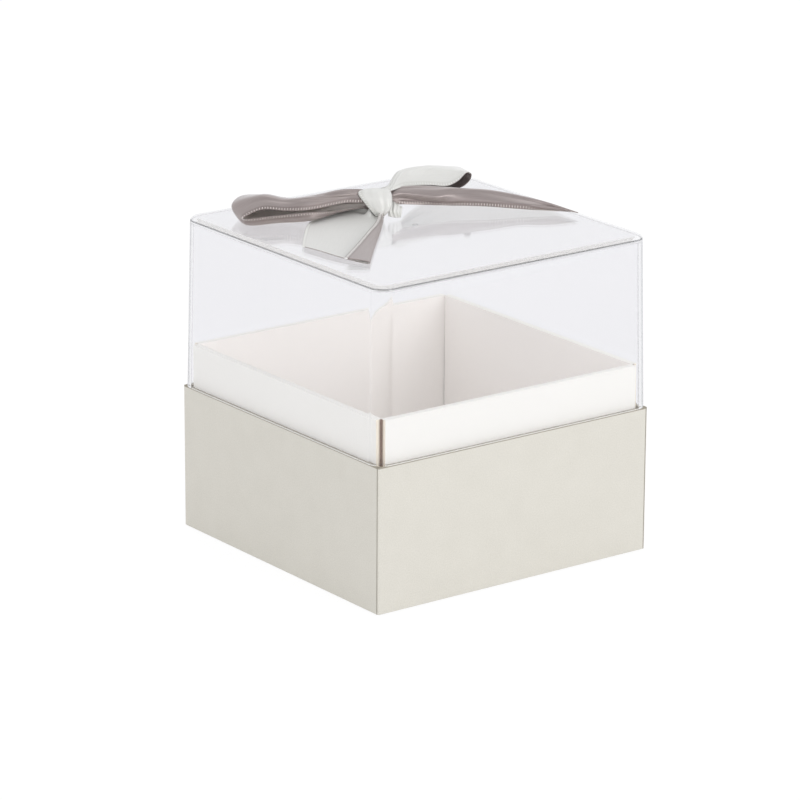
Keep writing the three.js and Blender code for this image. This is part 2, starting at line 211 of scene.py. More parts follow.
def make_floor():
    mesh = bpy.data.meshes.new("floor")
    signs = ((-1, -1), (1, -1), (1, 1), (-1, 1))
    mesh.from_pydata([(x * FLOOR_REACH_M, y * FLOOR_REACH_M, 0) for x, y in signs], [], [(0, 1, 2, 3)])
    mesh.materials.append(sweep_finish())
    floor = bpy.data.objects.new("floor", mesh)
    bpy.context.scene.collection.objects.link(floor)


make_floor()
print("floor", 2 * FLOOR_REACH_M, "m square")

# %% [markdown]
# ## Lamps
# A softbox is a large white cloth with a lamp behind it, and a disc of light a metre across does the
# same. The strongest one stands in front, so that the right wall is lighter than the left one. The
# lid would show the discs as bright spots behind it, so rays that pass through plastic miss them.

# %% Softboxes
SOFTBOXES = (
    ("front_softbox", (0.5, -1.9, 0.7), 1.0, 9.3),
    ("left_softbox", (-1.9, -0.4, 0.7), 1.0, 3.0),
    ("back_softbox", (0.6, 0.8, 1.6), 0.8, 1.5),
)
LAMP_AIM = Vector((0, 0, 0.06))


def add_softbox(name, place, size, watts):
    lamp = bpy.data.lights.new(name, "AREA")
    lamp.shape = "DISK"
    lamp.size = size
    lamp.energy = watts
    box = bpy.data.objects.new(name, lamp)
    facing = (LAMP_AIM - Vector(place)).to_track_quat("-Z", "Y").to_matrix().to_4x4()
    box.matrix_world = Matrix.Translation(place) @ facing
    box.visible_transmission = False
    bpy.context.scene.collection.objects.link(box)


for name, place, size, watts in SOFTBOXES:
    add_softbox(name, place, size, watts)
    print(name, watts, "W")


# %% [markdown]
# ## Grain and lines of paper
# Paper is matted fibre, so its tone and its relief vary in fine grains. A scanned picture of paper
# would do for one view, but noise on the Object coordinates, scaled in millimetres, never stretches at
# a fold. Two lines belong to the wrap alone, and both are painted shade. One is at its cut edge, which
# shows as a thin seam beside each corner, and the shade in the seam is painted as a darker tone. The
# other is the rim below the lid's foot: that gap is narrower than a pixel, and the paper in it is toned
# down with painted shade so that its dark line still shows.

# %% Grain, seam line and gap line
def grain(tree, size_mm, detail=3.0):
    place = add(tree, "ShaderNodeTexCoord")
    scale = 1000.0 / size_mm
    return add(
        tree,
        "ShaderNodeTexNoise",
        {"Vector": place.outputs["Object"], "Scale": scale, "Detail": detail, "Roughness": 0.6},
    )


def place_axes(tree):
    place = add(tree, "ShaderNodeTexCoord")
    return add(tree, "ShaderNodeSeparateXYZ", {0: place.outputs["Object"]}).outputs


def wall_distances(tree, axes):
    sizes = [add(tree, "ShaderNodeMath", {0: axes[k]}, operation="ABSOLUTE").outputs[0] for k in (0, 1)]
    pair = {0: sizes[0], 1: sizes[1]}
    nearer = add(tree, "ShaderNodeMath", pair, operation="MINIMUM").outputs[0]
    farther = add(tree, "ShaderNodeMath", pair, operation="MAXIMUM").outputs[0]
    return sizes, nearer, farther


# Painted shade: the seam at the wrap's cut edge gets a darker tone.
SEAM_SHADE_TONE = "#a39d91"
SEAM_AT_MM = 59.25
SEAM_HALF_WIDTH_MM = 0.2


def seam_shade_mask(tree):
    axes = place_axes(tree)
    sizes, nearer, farther = wall_distances(tree, axes)
    sides = {0: sizes[0], 1: sizes[1]}
    on_side = add(tree, "ShaderNodeMath", sides, operation="GREATER_THAN")
    product = add(tree, "ShaderNodeMath", {0: axes[0], 1: axes[1]}, operation="MULTIPLY")
    same_sign = add(tree, "ShaderNodeMath", {0: product.outputs[0], 1: 0.0}, operation="GREATER_THAN")
    ends = {0: on_side.outputs[0], 1: same_sign.outputs[0], 2: 0.1}
    right_end = add(tree, "ShaderNodeMath", ends, operation="COMPARE")
    line = {0: nearer, 1: SEAM_AT_MM * MM, 2: SEAM_HALF_WIDTH_MM * MM}
    in_line = add(tree, "ShaderNodeMath", line, operation="COMPARE")
    both = {0: right_end.outputs[0], 1: in_line.outputs[0]}
    return add(tree, "ShaderNodeMath", both, operation="MULTIPLY").outputs[0]


# Painted shade: the paper in the narrow gap under the lid's foot gets a darker tone.
GAP_SHADE_TONE = "#a09a8d"
GAP_FROM_MM = (53.5, 53.65)


def gap_shade_mask(tree):
    low, high = GAP_FROM_MM[0] * MM, GAP_FROM_MM[1] * MM
    rise = {"Value": place_axes(tree)[2], "From Min": low, "From Max": high}
    return add(tree, "ShaderNodeMapRange", rise).outputs[0]


print("seam at", SEAM_AT_MM, "mm, gap from", GAP_FROM_MM[0], "mm up")


# %% [markdown]
# ## Papers and boards
# The base is covered in a pale grey-beige paper with a fine felt grain: a soft, nearly matt surface
# whose tone varies a little, in grains and in wide clouds. The lining is smooth white paper, the stays
# and the tape are brown kraft paper, and greyboard is recycled pulp, pressed hard but never smooth.
# One function makes them all, since they differ only in tone, grain, relief and gloss.

# %% Paper and board finishes
CLOUD_MM = 9.0
CLOUD_SHARE = 0.25
GRAIN_SPREAD = (0.4, 0.85)


def paper_finish(name, dark, pale, grain_mm, relief_mm, roughness, seamed=False):
    material, tree = new_material(name)
    fine = grain(tree, grain_mm)
    cloud = grain(tree, CLOUD_MM, detail=2.0)
    faint = add(tree, "ShaderNodeMath", {0: cloud.outputs[0], 1: CLOUD_SHARE}, operation="MULTIPLY")
    blend = add(tree, "ShaderNodeMath", {0: fine.outputs[0], 1: faint.outputs[0]}, operation="ADD")
    low, high = GRAIN_SPREAD
    spread = {"Value": blend.outputs[0], "From Min": low, "From Max": high}
    share = add(tree, "ShaderNodeMapRange", spread)
    tones = {SHARE: share.outputs[0], FIRST: linear(dark), SECOND: linear(pale)}
    tone = add(tree, "ShaderNodeMix", tones, data_type="RGBA")
    # Both lines are painted shade on the wrap paper.
    lines = ((seam_shade_mask, SEAM_SHADE_TONE), (gap_shade_mask, GAP_SHADE_TONE)) if seamed else ()
    for mask, line_shade_tone in lines:
        lined = {SHARE: mask(tree), FIRST: tone.outputs[MIXED], SECOND: linear(line_shade_tone)}
        tone = add(tree, "ShaderNodeMix", lined, data_type="RGBA")
    height = {"Height": fine.outputs[0], "Strength": 1.0, "Distance": relief_mm * MM}
    bump = add(tree, "ShaderNodeBump", height)
    shader = add(
        tree,
        "ShaderNodeBsdfPrincipled",
        {
            "Base Color": tone.outputs[MIXED],
            "Roughness": roughness,
            "Specular IOR Level": 0.3,
            "Normal": bump.outputs[0],
        },
    )
    surface(tree, shader.outputs[0])
    return material


wrap_paper = paper_finish(
    "dyed_wrapping_paper_felt_marked", "#d2cfc5", "#dddad1", 0.5, 0.05, 0.82, seamed=True
)
lining_paper = paper_finish("white_lining_paper_pasted", "#f4f1ed", "#faf8f5", 0.4, 0.015, 0.8)
kraft_paper = paper_finish("brown_kraft_paper_gummed", "#a98860", "#bd9c72", 0.8, 0.03, 0.85)
greyboard = paper_finish("greyboard_recycled_pressed", "#9c968c", "#b1aba1", 0.7, 0.05, 0.92)
for node, material in (
    ("base_wrap", wrap_paper),
    ("bottom_sheet", wrap_paper),
    ("floor_lining", lining_paper),
    ("neck_joint_tape", kraft_paper),
    ("base_tray", greyboard),
    ("corner_stay_back_right", kraft_paper),
    ("corner_stay_back_left", kraft_paper),
    ("corner_stay_front_left", kraft_paper),
    ("corner_stay_front_right", kraft_paper),
):
    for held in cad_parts[node].material_slots:
        held.material = material
    print(node, "<-", material.name)


# %% [markdown]
# ## The neck's board
# A half cut goes nearly through the board from its outside, and when the board is folded inwards the
# cut opens as a square notch with cream walls, darkened towards its depth by painted shade. The outer
# face is coated white, and the inner one is bare, a little warmer, and painted lighter than the outer
# one, as painted light inside the box. Masks made from the coordinates tell these faces apart, so that
# one material can dress the whole strip.

# %% Board with a cream core
NECK_OUTER_MM = 57.6
NECK_INNER_MM = 55.2
HALF_CUT_MM = 2.1
SHADED_DEPTH_MM = (0.5, 1.3)
CUT_SLACK_MM = 0.02
FACE_SLACK_MM = 0.05
BOARD_GRAIN_MM = 0.5
BOARD_RELIEF_MM = 0.01


def board_finish():
    material, tree = new_material("white_faced_board_cream_core")
    sizes, nearer, farther = wall_distances(tree, place_axes(tree))
    limit = NECK_OUTER_MM - HALF_CUT_MM
    edge = {0: nearer, 1: (limit - CUT_SLACK_MM) * MM}
    cut = add(tree, "ShaderNodeMath", edge, operation="GREATER_THAN")
    bare = {0: farther, 1: (NECK_INNER_MM + FACE_SLACK_MM) * MM}
    inside = add(tree, "ShaderNodeMath", bare, operation="LESS_THAN")
    low, high = ((limit + depth) * MM for depth in SHADED_DEPTH_MM)
    depth = add(tree, "ShaderNodeMapRange", {"Value": farther, "From Min": low, "From Max": high})
    fine = grain(tree, BOARD_GRAIN_MM)
    faces = []
    for share, first, second in (
        (fine, "#eeece7", "#f3f2ed"),
        # Painted light: the bare inner face is toned lighter than the coated outer face.
        (fine, "#faf6f2", "#fefbf8"),
        # Painted shade: the notch's cream walls turn brown towards its inner corner.
        (depth, "#8d7565", "#f0e8d8"),
    ):
        pair = {SHARE: share.outputs[0], FIRST: linear(first), SECOND: linear(second)}
        faces.append(add(tree, "ShaderNodeMix", pair, data_type="RGBA").outputs[MIXED])
    coated, bare_painted_lighter, core = faces
    skin = {SHARE: inside.outputs[0], FIRST: coated, SECOND: bare_painted_lighter}
    skins = add(tree, "ShaderNodeMix", skin, data_type="RGBA")
    whole = {SHARE: cut.outputs[0], FIRST: skins.outputs[MIXED], SECOND: core}
    tone = add(tree, "ShaderNodeMix", whole, data_type="RGBA")
    height = {"Height": fine.outputs[0], "Strength": 1.0, "Distance": BOARD_RELIEF_MM * MM}
    bump = add(tree, "ShaderNodeBump", height)
    skin_finish = {"Base Color": tone.outputs[MIXED], "Roughness": 0.7, "Normal": bump.outputs[0]}
    shader = add(tree, "ShaderNodeBsdfPrincipled", skin_finish)
    surface(tree, shader.outputs[0])
    return material


white_board = board_finish()
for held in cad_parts["neck"].material_slots:
    held.material = white_board
print("neck <-", white_board.name)


# %% [markdown]
# ## Clear lid
# The lid is injection moulded in clear plastic: walls 1.5 mm thick that lean in by one degree so
# that it leaves its mould, round outer edges, and a small gate mark in the middle of the top. Its
# outlines are stacked as rings and skinned, with more steps in the rounds than the solid has, and each
# flat wall keeps its own straight shading, because gloss shows the least bend.

# %% Lid shape
LID_LOW_MM = 54.2
LID_HIGH_MM = 118.0
LID_HALF_LOW_MM = 60.6
LID_WALL_MM = 1.5
LID_TOP_MM = 2.0
LID_CORNER_MM = 6.0
LID_INNER_CORNER_MM = 4.5
LID_EDGE_ROUND_MM = 1.8
LID_INNER_ROUND_MM = 1.0
GATE_WIDTH_MM = 2.4
GATE_HEIGHT_MM = 0.25
DRAFT = math.tan(math.radians(1.0))


def lid_ring(half, radius, level, steps=24):
    ring = []
    flat = half - radius
    for corner, (side_x, side_y) in enumerate(((1, 1), (-1, 1), (-1, -1), (1, -1))):
        for step in range(steps + 1):
            angle = (corner + step / steps) * math.pi / 2
            x = side_x * flat + radius * math.cos(angle)
            y = side_y * flat + radius * math.sin(angle)
            ring.append((x * MM, y * MM, level * MM))
    return ring


def lid_rings():
    steps = 8
    rings = []

    def outer(level):
        return LID_HALF_LOW_MM - (level - LID_LOW_MM) * DRAFT

    inner_top = LID_HIGH_MM - LID_TOP_MM
    for step in range(steps, -1, -1):
        angle = step / steps * math.pi / 2
        inset = LID_INNER_ROUND_MM * (1 - math.cos(angle))
        level = inner_top - LID_INNER_ROUND_MM * (1 - math.sin(angle))
        rings.append(lid_ring(outer(level) - LID_WALL_MM - inset, LID_INNER_CORNER_MM - inset, level))
    rings.append(lid_ring(outer(LID_LOW_MM) - LID_WALL_MM, LID_INNER_CORNER_MM, LID_LOW_MM))
    rings.append(lid_ring(outer(LID_LOW_MM), LID_CORNER_MM, LID_LOW_MM))
    for step in range(steps + 1):
        angle = step / steps * math.pi / 2
        inset = LID_EDGE_ROUND_MM * (1 - math.cos(angle))
        level = LID_HIGH_MM - LID_EDGE_ROUND_MM * (1 - math.sin(angle))
        rings.append(lid_ring(outer(level) - inset, LID_CORNER_MM - inset, level))
    return rings


def object_from(name, points, faces, materials):
    mesh = bpy.data.meshes.new(name)
    mesh.from_pydata([tuple(p) for p in points], [], faces)
    for material in materials:
        mesh.materials.append(material)
    mesh.polygons.foreach_set("use_smooth", [True] * len(mesh.polygons))
    mesh.update()
    made = bpy.data.objects.new(name, mesh)
    bpy.context.scene.collection.objects.link(made)
    return made


def apply_modifier(piece, modifier):
    with bpy.context.temp_override(object=piece, active_object=piece, selected_objects=[piece]):
        bpy.ops.object.modifier_apply(modifier=modifier.name)


def skin_rings(rings, count):
    faces = []
    for row in range(rings - 1):
        for i in range(count):
            a = row * count + i
            b = row * count + (i + 1) % count
            faces.append((a, b, b + count, a + count))
    faces.append(tuple(reversed(range(count))))
    last = (rings - 1) * count
    faces.append(tuple(last + i for i in range(count)))
    return faces


def make_lid(material):
    rings = lid_rings()
    points = [p for ring in rings for p in ring]
    faces = skin_rings(len(rings), len(rings[0]))
    lid = object_from("moulded_lid", points, faces, [material])
    lid.data.set_sharp_from_angle(angle=math.radians(50))
    even = lid.modifiers.new("flat_walls", "WEIGHTED_NORMAL")
    even.keep_sharp = True
    even.weight = 100
    apply_modifier(lid, even)
    return lid


print("lid:", len(lid_rings()), "outlines of", len(lid_rings()[0]), "points")


# %% [markdown]
# ## Clear plastic
# A clear moulded plastic, such as acrylic or polystyrene, has no colour of its own, and the polished
# mould leaves it mirror smooth with an IOR of about 1.5. The eye sees it only by its edges. A plain
# glass shader gives most of that, but three things are helped along. A ray that is still caught in the
# wall after several turns would end black, while real light leaks out white, so from then on it meets
# a white surface. Walls are painted greyer where they are seen at a shallow angle, through more
# plastic. And a thin dark line, a painted reflection of the dark room that the round turns towards
# the eye, runs round the top edge. Shadow rays and soft light pass straight through, which keeps the
# inside of the box bright.

# %% Clear plastic
TRAPPED_AFTER = 3.5
# Painted reflection: a dark line round the lid's top edge, in its base colour.
EDGE_REFLECTION_MM = (116.4, 116.6, 116.95, 117.15)
EDGE_REFLECTION_TONE = "#76777a"
WALL_TOP_MM = 115.8
CLEAR_TONE = "#fcfcfd"
# Painted grey: walls seen at a shallow angle get a greyer base colour.
SHALLOW_PAINTED_GREY = "#bdbec0"
SHALLOW_FROM = (0.5, 0.66)


def painted_edge_reflection(tree):
    height = place_axes(tree)[2]
    low, full, fading, high = (level * MM for level in EDGE_REFLECTION_MM)
    rise = add(tree, "ShaderNodeMapRange", {"Value": height, "From Min": low, "From Max": full})
    fall = add(tree, "ShaderNodeMapRange", {"Value": height, "From Min": high, "From Max": fading})
    both = {0: rise.outputs[0], 1: fall.outputs[0]}
    return add(tree, "ShaderNodeMath", both, operation="MULTIPLY").outputs[0]


def painted_shallow_grey(tree):
    limit = {0: place_axes(tree)[2], 1: WALL_TOP_MM * MM}
    wall = add(tree, "ShaderNodeMath", limit, operation="LESS_THAN")
    facing = add(tree, "ShaderNodeLayerWeight", {"Blend": 0.5}).outputs["Facing"]
    low, high = SHALLOW_FROM
    grazing = add(tree, "ShaderNodeMapRange", {"Value": facing, "From Min": low, "From Max": high})
    both = {0: grazing.outputs[0], 1: wall.outputs[0]}
    return add(tree, "ShaderNodeMath", both, operation="MULTIPLY").outputs[0]


def clear_finish():
    material, tree = new_material("clear_moulded_plastic")
    path = add(tree, "ShaderNodeLightPath")
    walls = {SHARE: painted_shallow_grey(tree), FIRST: linear(CLEAR_TONE), SECOND: linear(SHALLOW_PAINTED_GREY)}
    clear = add(tree, "ShaderNodeMix", walls, data_type="RGBA")
    line = {SHARE: painted_edge_reflection(tree), FIRST: clear.outputs[MIXED], SECOND: linear(EDGE_REFLECTION_TONE)}
    lined = add(tree, "ShaderNodeMix", line, data_type="RGBA")
    shader = add(
        tree,
        "ShaderNodeBsdfPrincipled",
        {"Base Color": lined.outputs[MIXED], "Roughness": 0.0, "IOR": 1.5, "Transmission Weight": 1.0},
    )
    open_way = add(tree, "ShaderNodeBsdfTransparent", {"Color": (1, 1, 1, 1)})
    trapped = add(tree, "ShaderNodeBsdfDiffuse", {"Color": (1, 1, 1, 1)})
    turns = {0: path.outputs["Ray Depth"], 1: TRAPPED_AFTER}
    deep = add(tree, "ShaderNodeMath", turns, operation="GREATER_THAN")
    views = {0: deep.outputs[0], 1: shader.outputs[0], 2: trapped.outputs[0]}
    seen = add(tree, "ShaderNodeMixShader", views)
    bounced = {0: path.outputs["Diffuse Depth"], 1: 0.5}
    soft = add(tree, "ShaderNodeMath", bounced, operation="GREATER_THAN")
    free = {0: path.outputs["Is Shadow Ray"], 1: soft.outputs[0]}
    passing = add(tree, "ShaderNodeMath", free, operation="MAXIMUM")
    both = {0: passing.outputs[0], 1: seen.outputs[0], 2: open_way.outputs[0]}
    surface(tree, add(tree, "ShaderNodeMixShader", both).outputs[0])
    return material


clear_plastic = clear_finish()
lid = make_lid(clear_plastic)
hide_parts("clear_lid")
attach(lid, "lid")
print("moulded lid:", len(lid.data.polygons), "faces")


# %% [markdown]
# ## Gate mark
# Hot plastic enters the mould through a gate in the middle of the top. Where it was cut off, a small
# frosted disc stays, with a shallow hollow in it. It is turned from a short profile, a hair above the
# lid, because two skins in one plane would flicker.

# %% Gate mark of the moulding
GATE_LIFT_MM = 0.01


def make_gate(material):
    low = GATE_WIDTH_MM / 2
    profile = [(low, 0.0), (low - 0.12, 0.15), (low - 0.3, GATE_HEIGHT_MM), (0.35, GATE_HEIGHT_MM - 0.08)]
    steps = 24
    points = []
    for radius, height in profile:
        level = LID_HIGH_MM + GATE_LIFT_MM + height
        for step in range(steps):
            angle = 2 * math.pi * step / steps
            points.append((radius * math.cos(angle) * MM, radius * math.sin(angle) * MM, level * MM))
    faces = skin_rings(len(profile), steps)
    return object_from("gate_mark", points, faces, [material])


def torn_finish():
    material, tree = new_material("clear_plastic_torn_at_the_gate")
    shader = add(
        tree,
        "ShaderNodeBsdfPrincipled",
        {"Base Color": linear("#f2f2f4"), "Roughness": 0.35, "Transmission Weight": 0.5},
    )
    surface(tree, shader.outputs[0])
    return material


gate = make_gate(torn_finish())
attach(gate, "lid")
print("gate mark:", GATE_WIDTH_MM, "mm across")


# %% [markdown]
# ## Satin ribbon
# The bow is tied from one double-face satin ribbon, 38 mm wide: taupe on one face and pale silver grey
# on the other, with a woven selvedge along both edges. Satin is woven with long floats, which line up
# and give a sheen that stretches across the threads. So its shader is anisotropic, along the ribbon's
# own UV map, and part of it mirrors in the thread's colour, as dyed polyester does: more on the taupe
# face than on the pale one. The selvedge is a tone darker, partly its own tone and partly painted shade
# of the groove under its stitches. Fine ribs run across the ribbon. A real rib is about 0.2 mm; it is
# drawn at 0.35 mm so that it still shows. The pale face inside the left loop has taupe cloth all round
# it, and the warm light that this cloth throws there is painted into a tone of its own, warmer and
# lighter.

# %% Satin finishes
RIB_MM = 0.35
SELVEDGE_MM = 1.5
SELVEDGE_FADE_MM = 0.5
RIB_RELIEF_MM = 0.02
FLOAT_STRETCH = (0.12, 1.6, 1.0)


def satin_finish(name, dark, pale, selvedge_shade_tone, mirror_share, roughness):
    material, tree = new_material(name)
    lay = add(tree, "ShaderNodeUVMap", uv_map="ribbon_mm")
    ribs = add(
        tree,
        "ShaderNodeTexWave",
        {
            "Vector": lay.outputs[0],
            "Scale": 2 * math.pi / (20 * RIB_MM),
            "Distortion": 0.6,
            "Detail": 1.0,
        },
        wave_type="BANDS",
        bands_direction="X",
    )
    stretched = add(tree, "ShaderNodeMapping", {"Vector": lay.outputs[0], "Scale": FLOAT_STRETCH})
    threads = {"Vector": stretched.outputs[0], "Scale": 1.0, "Detail": 3.0}
    floats = add(tree, "ShaderNodeTexNoise", threads)
    tones = {SHARE: floats.outputs[0], FIRST: linear(dark), SECOND: linear(pale)}
    cloth = add(tree, "ShaderNodeMix", tones, data_type="RGBA")
    edge = add(tree, "ShaderNodeAttribute", attribute_name="edge_mm")
    near_edge = add(
        tree,
        "ShaderNodeMapRange",
        {
            "Value": edge.outputs["Fac"],
            "From Min": SELVEDGE_MM,
            "From Max": SELVEDGE_MM + SELVEDGE_FADE_MM,
            "To Min": 1.0,
            "To Max": 0.0,
        },
    )
    # Partly painted shade: the selvedge's darker tone also stands for the groove under its stitches.
    edged = {SHARE: near_edge.outputs[0], FIRST: cloth.outputs[MIXED], SECOND: linear(selvedge_shade_tone)}
    tone = add(tree, "ShaderNodeMix", edged, data_type="RGBA")
    both = {0: ribs.outputs[1], 1: floats.outputs[0]}
    relief = add(tree, "ShaderNodeMath", both, operation="ADD")
    height = {"Height": relief.outputs[0], "Strength": 0.5, "Distance": RIB_RELIEF_MM * MM}
    bump = add(tree, "ShaderNodeBump", height)
    along = add(tree, "ShaderNodeTangent", direction_type="UV_MAP", uv_map="ribbon_mm")
    shader = add(
        tree,
        "ShaderNodeBsdfPrincipled",
        {
            "Base Color": tone.outputs[MIXED],
            "Metallic": mirror_share,
            "Roughness": roughness,
            "Anisotropic": 0.5,
            "Sheen Weight": 0.3,
            "Sheen Roughness": 0.4,
            "Normal": bump.outputs[0],
            "Tangent": along.outputs[0],
        },
    )
    surface(tree, shader.outputs[0])
    return material


taupe_satin = satin_finish("polyester_satin_taupe_face", "#988d8a", "#aba19f", "#8e8380", 0.42, 0.31)
pale_satin = satin_finish("polyester_satin_pale_face", "#dadad6", "#e4e4e0", "#d8d8d3", 0.1, 0.4)
# Painted light: the pale face inside the left loop gets a warmer, lighter tone for light from the taupe
# cloth round it.
pale_satin_painted_warm = satin_finish("polyester_satin_pale_face_painted_warm_light", "#e2dbd6", "#eee8e4", "#cfc6c1", 0.05, 0.45)
print("satin:", taupe_satin.name, pale_satin.name, pale_satin_painted_warm.name)

# %% [markdown]
# ## Laying the ribbon
# A bow could be simulated as cloth, but this one has to lie exactly as it was tied: the left loop
# arches, the right one stands up, one tail runs off to the right with its face tilted up, and the
# front tail is folded lengthwise so that a strip of taupe lies over the pale face. So each stretch is
# a surface through a few guide points. Each line of points crosses the ribbon from its back edge to
# its front edge, and the lines follow the ribbon out from the knot. The points are in the bow's own
# frame, in millimetres: X along the bow, Y to its back, Z up from the lid.

# %% Guide points of the ribbon
BOW_TURN = math.radians(-36.7)
RIBBON_THICK_MM = 0.26
LEFT_LOOP = [
    [(-16.5, 12.5, 6.5), (-16.5, 11.5, 7.4), (-16.5, 10, 8), (-16.5, 8.4, 7.8), (-16.5, 7, 6.8)],
    [(-20, 14.5, 6), (-20, 13, 7.8), (-20, 10, 8.9), (-20, 7.4, 8.4), (-20, 5.6, 6.6)],
    [(-26, 23, 3.4), (-26, 15, 7.4), (-25.5, 7, 9.3), (-25.5, 5.5, 8.1), (-26, 4.9, 6.5)],
    [(-34, 30, 1.8), (-35.5, 18, 5.8), (-37, 5.2, 8.9), (-37, 3.2, 7.5), (-37.5, 1.9, 4.8)],
    [(-43, 29, 1.8), (-44.5, 18, 4.6), (-46, 6, 7.9), (-46, 2.4, 7.2), (-46, -0.8, 5.2)],
    [(-51.5, 30, 2.4), (-53, 18, 6.1), (-54.9, 7, 9), (-54.6, 3, 7.6), (-54.4, -0.8, 5.6)],
    [(-58.5, 28, 3.1), (-63, 17, 5.7), (-65.5, 9, 5), (-63.4, 3.5, 3.8), (-60.8, -1, 2.8)],
    [(-55, 29.5, 1), (-60, 19, 1), (-61, 8, 0.8), (-60, -3.6, 0.7), (-59.3, -6.1, 3.5)],
    [(-46, 28.4, 0.7), (-47, 18, 0.6), (-48, 8, 0.6), (-48.5, -0.4, 0.6), (-48.3, -3.4, 4.1)],
    [(-35, 29, 0.8), (-36, 18, 1.8), (-37, 10, 2), (-37, -1.6, 1.9), (-37.6, -2.8, 5.1)],
    [(-27, 22, 2.4), (-27, 17, 3.2), (-27, 11, 3.4), (-27, 5.6, 3.2), (-27, 4.4, 3.9)],
    [(-20, 13.5, 4.4), (-20, 12, 4), (-20, 10, 4), (-20, 7.6, 4.1), (-20, 6, 4.6)],
    [(-16.5, 12, 5), (-16.5, 11, 4.6), (-16.5, 10, 4.6), (-16.5, 8.6, 4.8), (-16.5, 7.4, 5.2)],
]
RIGHT_LOOP = [
    [(-12, 12, 8.4), (-12, 11.4, 9), (-12, 10.6, 9.2), (-12, 9.8, 9), (-12, 9.2, 8.6)],
    [(-8.6, 14.8, 9.2), (-8.6, 13.6, 9.9), (-8.4, 12.2, 10.4), (-8.4, 11, 10.2), (-8.4, 10, 9.9)],
    [(-5.4, 30, 10), (-5.4, 25, 12), (-5.4, 20.5, 13.6), (-5.1, 18.4, 11.4), (-4.7, 17, 9.4)],
    [(-0.6, 42, 8), (-0.8, 34, 11.4), (-2, 27, 13.8), (-1.6, 24.2, 11.4), (-0.9, 22, 8.7)],
    [(6, 54, 6), (5, 43, 10.6), (3.6, 31.5, 13.4), (4.3, 28.2, 10.8), (5.3, 25, 8.2)],
    [(12.6, 58, 5.2), (11.4, 46, 9.8), (10.2, 34, 12.6), (10.9, 30.4, 10), (11.6, 27, 7.4)],
    [(17, 59, 4.8), (16, 47, 9.4), (14.6, 35, 11.8), (15.3, 31.6, 10.5), (15.8, 28.6, 9)],
    [(19.4, 59, 4.4), (19, 47, 8), (17.6, 34.6, 11.2), (18.2, 31.8, 11.5), (18.7, 29.4, 11.7)],
    [(19.6, 58, 4.2), (19.8, 46, 7.6), (18.2, 35, 10.3), (19.3, 32, 10.8), (20.5, 29.8, 11)],
    [(18, 57.5, 3.6), (17.6, 46, 6.8), (16.8, 36, 9.1), (18.2, 33, 8.7), (19.4, 30.6, 8)],
    [(14.6, 56.5, 2.8), (13.8, 46, 5.4), (13.5, 36, 7.1), (14.6, 33.4, 6.2), (15.5, 31, 5.6)],
    [(8.6, 54, 2.6), (8.2, 45, 4), (7.4, 35, 5.6), (7.2, 31.8, 5.8), (7, 29.6, 6)],
    [(0, 42, 4.8), (0, 34, 5.6), (-1, 27, 6.6), (-1, 24.6, 7), (-1, 23.4, 7.4)],
    [(-8.8, 14.8, 7), (-8.8, 14.4, 7.4), (-8.8, 14, 7.8), (-8.8, 13.4, 8.3), (-8.8, 12.8, 8.8)],
    [(-12, 12.6, 6.4), (-12, 12.2, 6.8), (-12, 11.6, 7.2), (-12, 11, 7.6), (-12, 10.4, 8)],
]
RIGHT_TAIL = [
    [(-11.5, 12.4, 5), (-11.5, 11.8, 6.4), (-11.5, 10.6, 7.2), (-11.5, 10.7, 6.6)]
    + [(-11.5, 11, 5.6), (-11.5, 11.2, 5.1), (-11.5, 11.4, 4.6)],
    [(-8.4, 15.6, 5), (-8.4, 14.6, 7), (-8.3, 12.6, 9.2), (-8.2, 10.6, 8.2)]
    + [(-8.1, 11.2, 6.7), (-8.1, 11.2, 5.4), (-8.1, 11.6, 4.4)],
    [(-4.4, 23, 4), (-4.4, 19.6, 6.6), (-4.7, 15.6, 9.4), (-4.5, 12.2, 8.5)]
    + [(-4.3, 13.2, 6.3), (-4.2, 12.6, 5.2), (-4, 12.4, 4.3)],
    [(1, 31, 2.6), (1, 24, 5.8), (1.1, 18, 9.1), (1.4, 13.6, 7.7)]
    + [(1.8, 15, 5), (2.2, 14.6, 4.2), (2.4, 14.4, 3.6)],
    [(5.4, 37, 1.6), (6.6, 27, 4.6), (7.6, 19.4, 8.7), (7.9, 14.6, 6.8)]
    + [(8.3, 16, 4.2), (8.5, 15.8, 3.6), (8.6, 15.4, 3.2)],
    [(9.6, 42, 1.1), (11.2, 31, 3.6), (12.6, 20.4, 8.5), (12.6, 16.6, 7.3)]
    + [(12.6, 16.1, 5.06), (12.6, 16.5, 3.53), (12.6, 16.5, 2.84)],
    [(14, 45, 1), (16, 33, 3.4), (17.7, 21.4, 8), (17.7, 18.2, 7.1)]
    + [(17.7, 16.7, 5.26), (17.7, 16.9, 3.73), (17.7, 16.9, 2.74)],
    [(20, 45.6, 0.9), (23.6, 34, 3.2), (27.1, 22.6, 7.1), (27.1, 19.6, 6.2)]
    + [(27.1, 17.3, 4.86), (27.1, 16.9, 3.63), (27.1, 16.9, 2.44)],
    [(27.4, 44.6, 0.8), (32.5, 33, 2.6), (38, 22, 5.3), (37.8, 19.6, 4.4)]
    + [(37.7, 17.5, 3.56), (37.6, 16.9, 2.63), (37.6, 16.9, 1.64)],
    [(35, 40.6, 0.7), (41.6, 29, 1.6), (47.7, 17.4, 4), (46.9, 16.6, 3.4)]
    + [(46.2, 15.7, 2.96), (45.5, 15.9, 2.13), (44.6, 16.7, 1.34)],
    [(42, 34.4, 0.7), (50, 23.6, 0.9), (58.5, 12.4, 1.6), (56.6, 13.8, 1.5)]
    + [(54.5, 15, 1.3), (52.7, 16.2, 1.1), (50.6, 17, 1)],
]
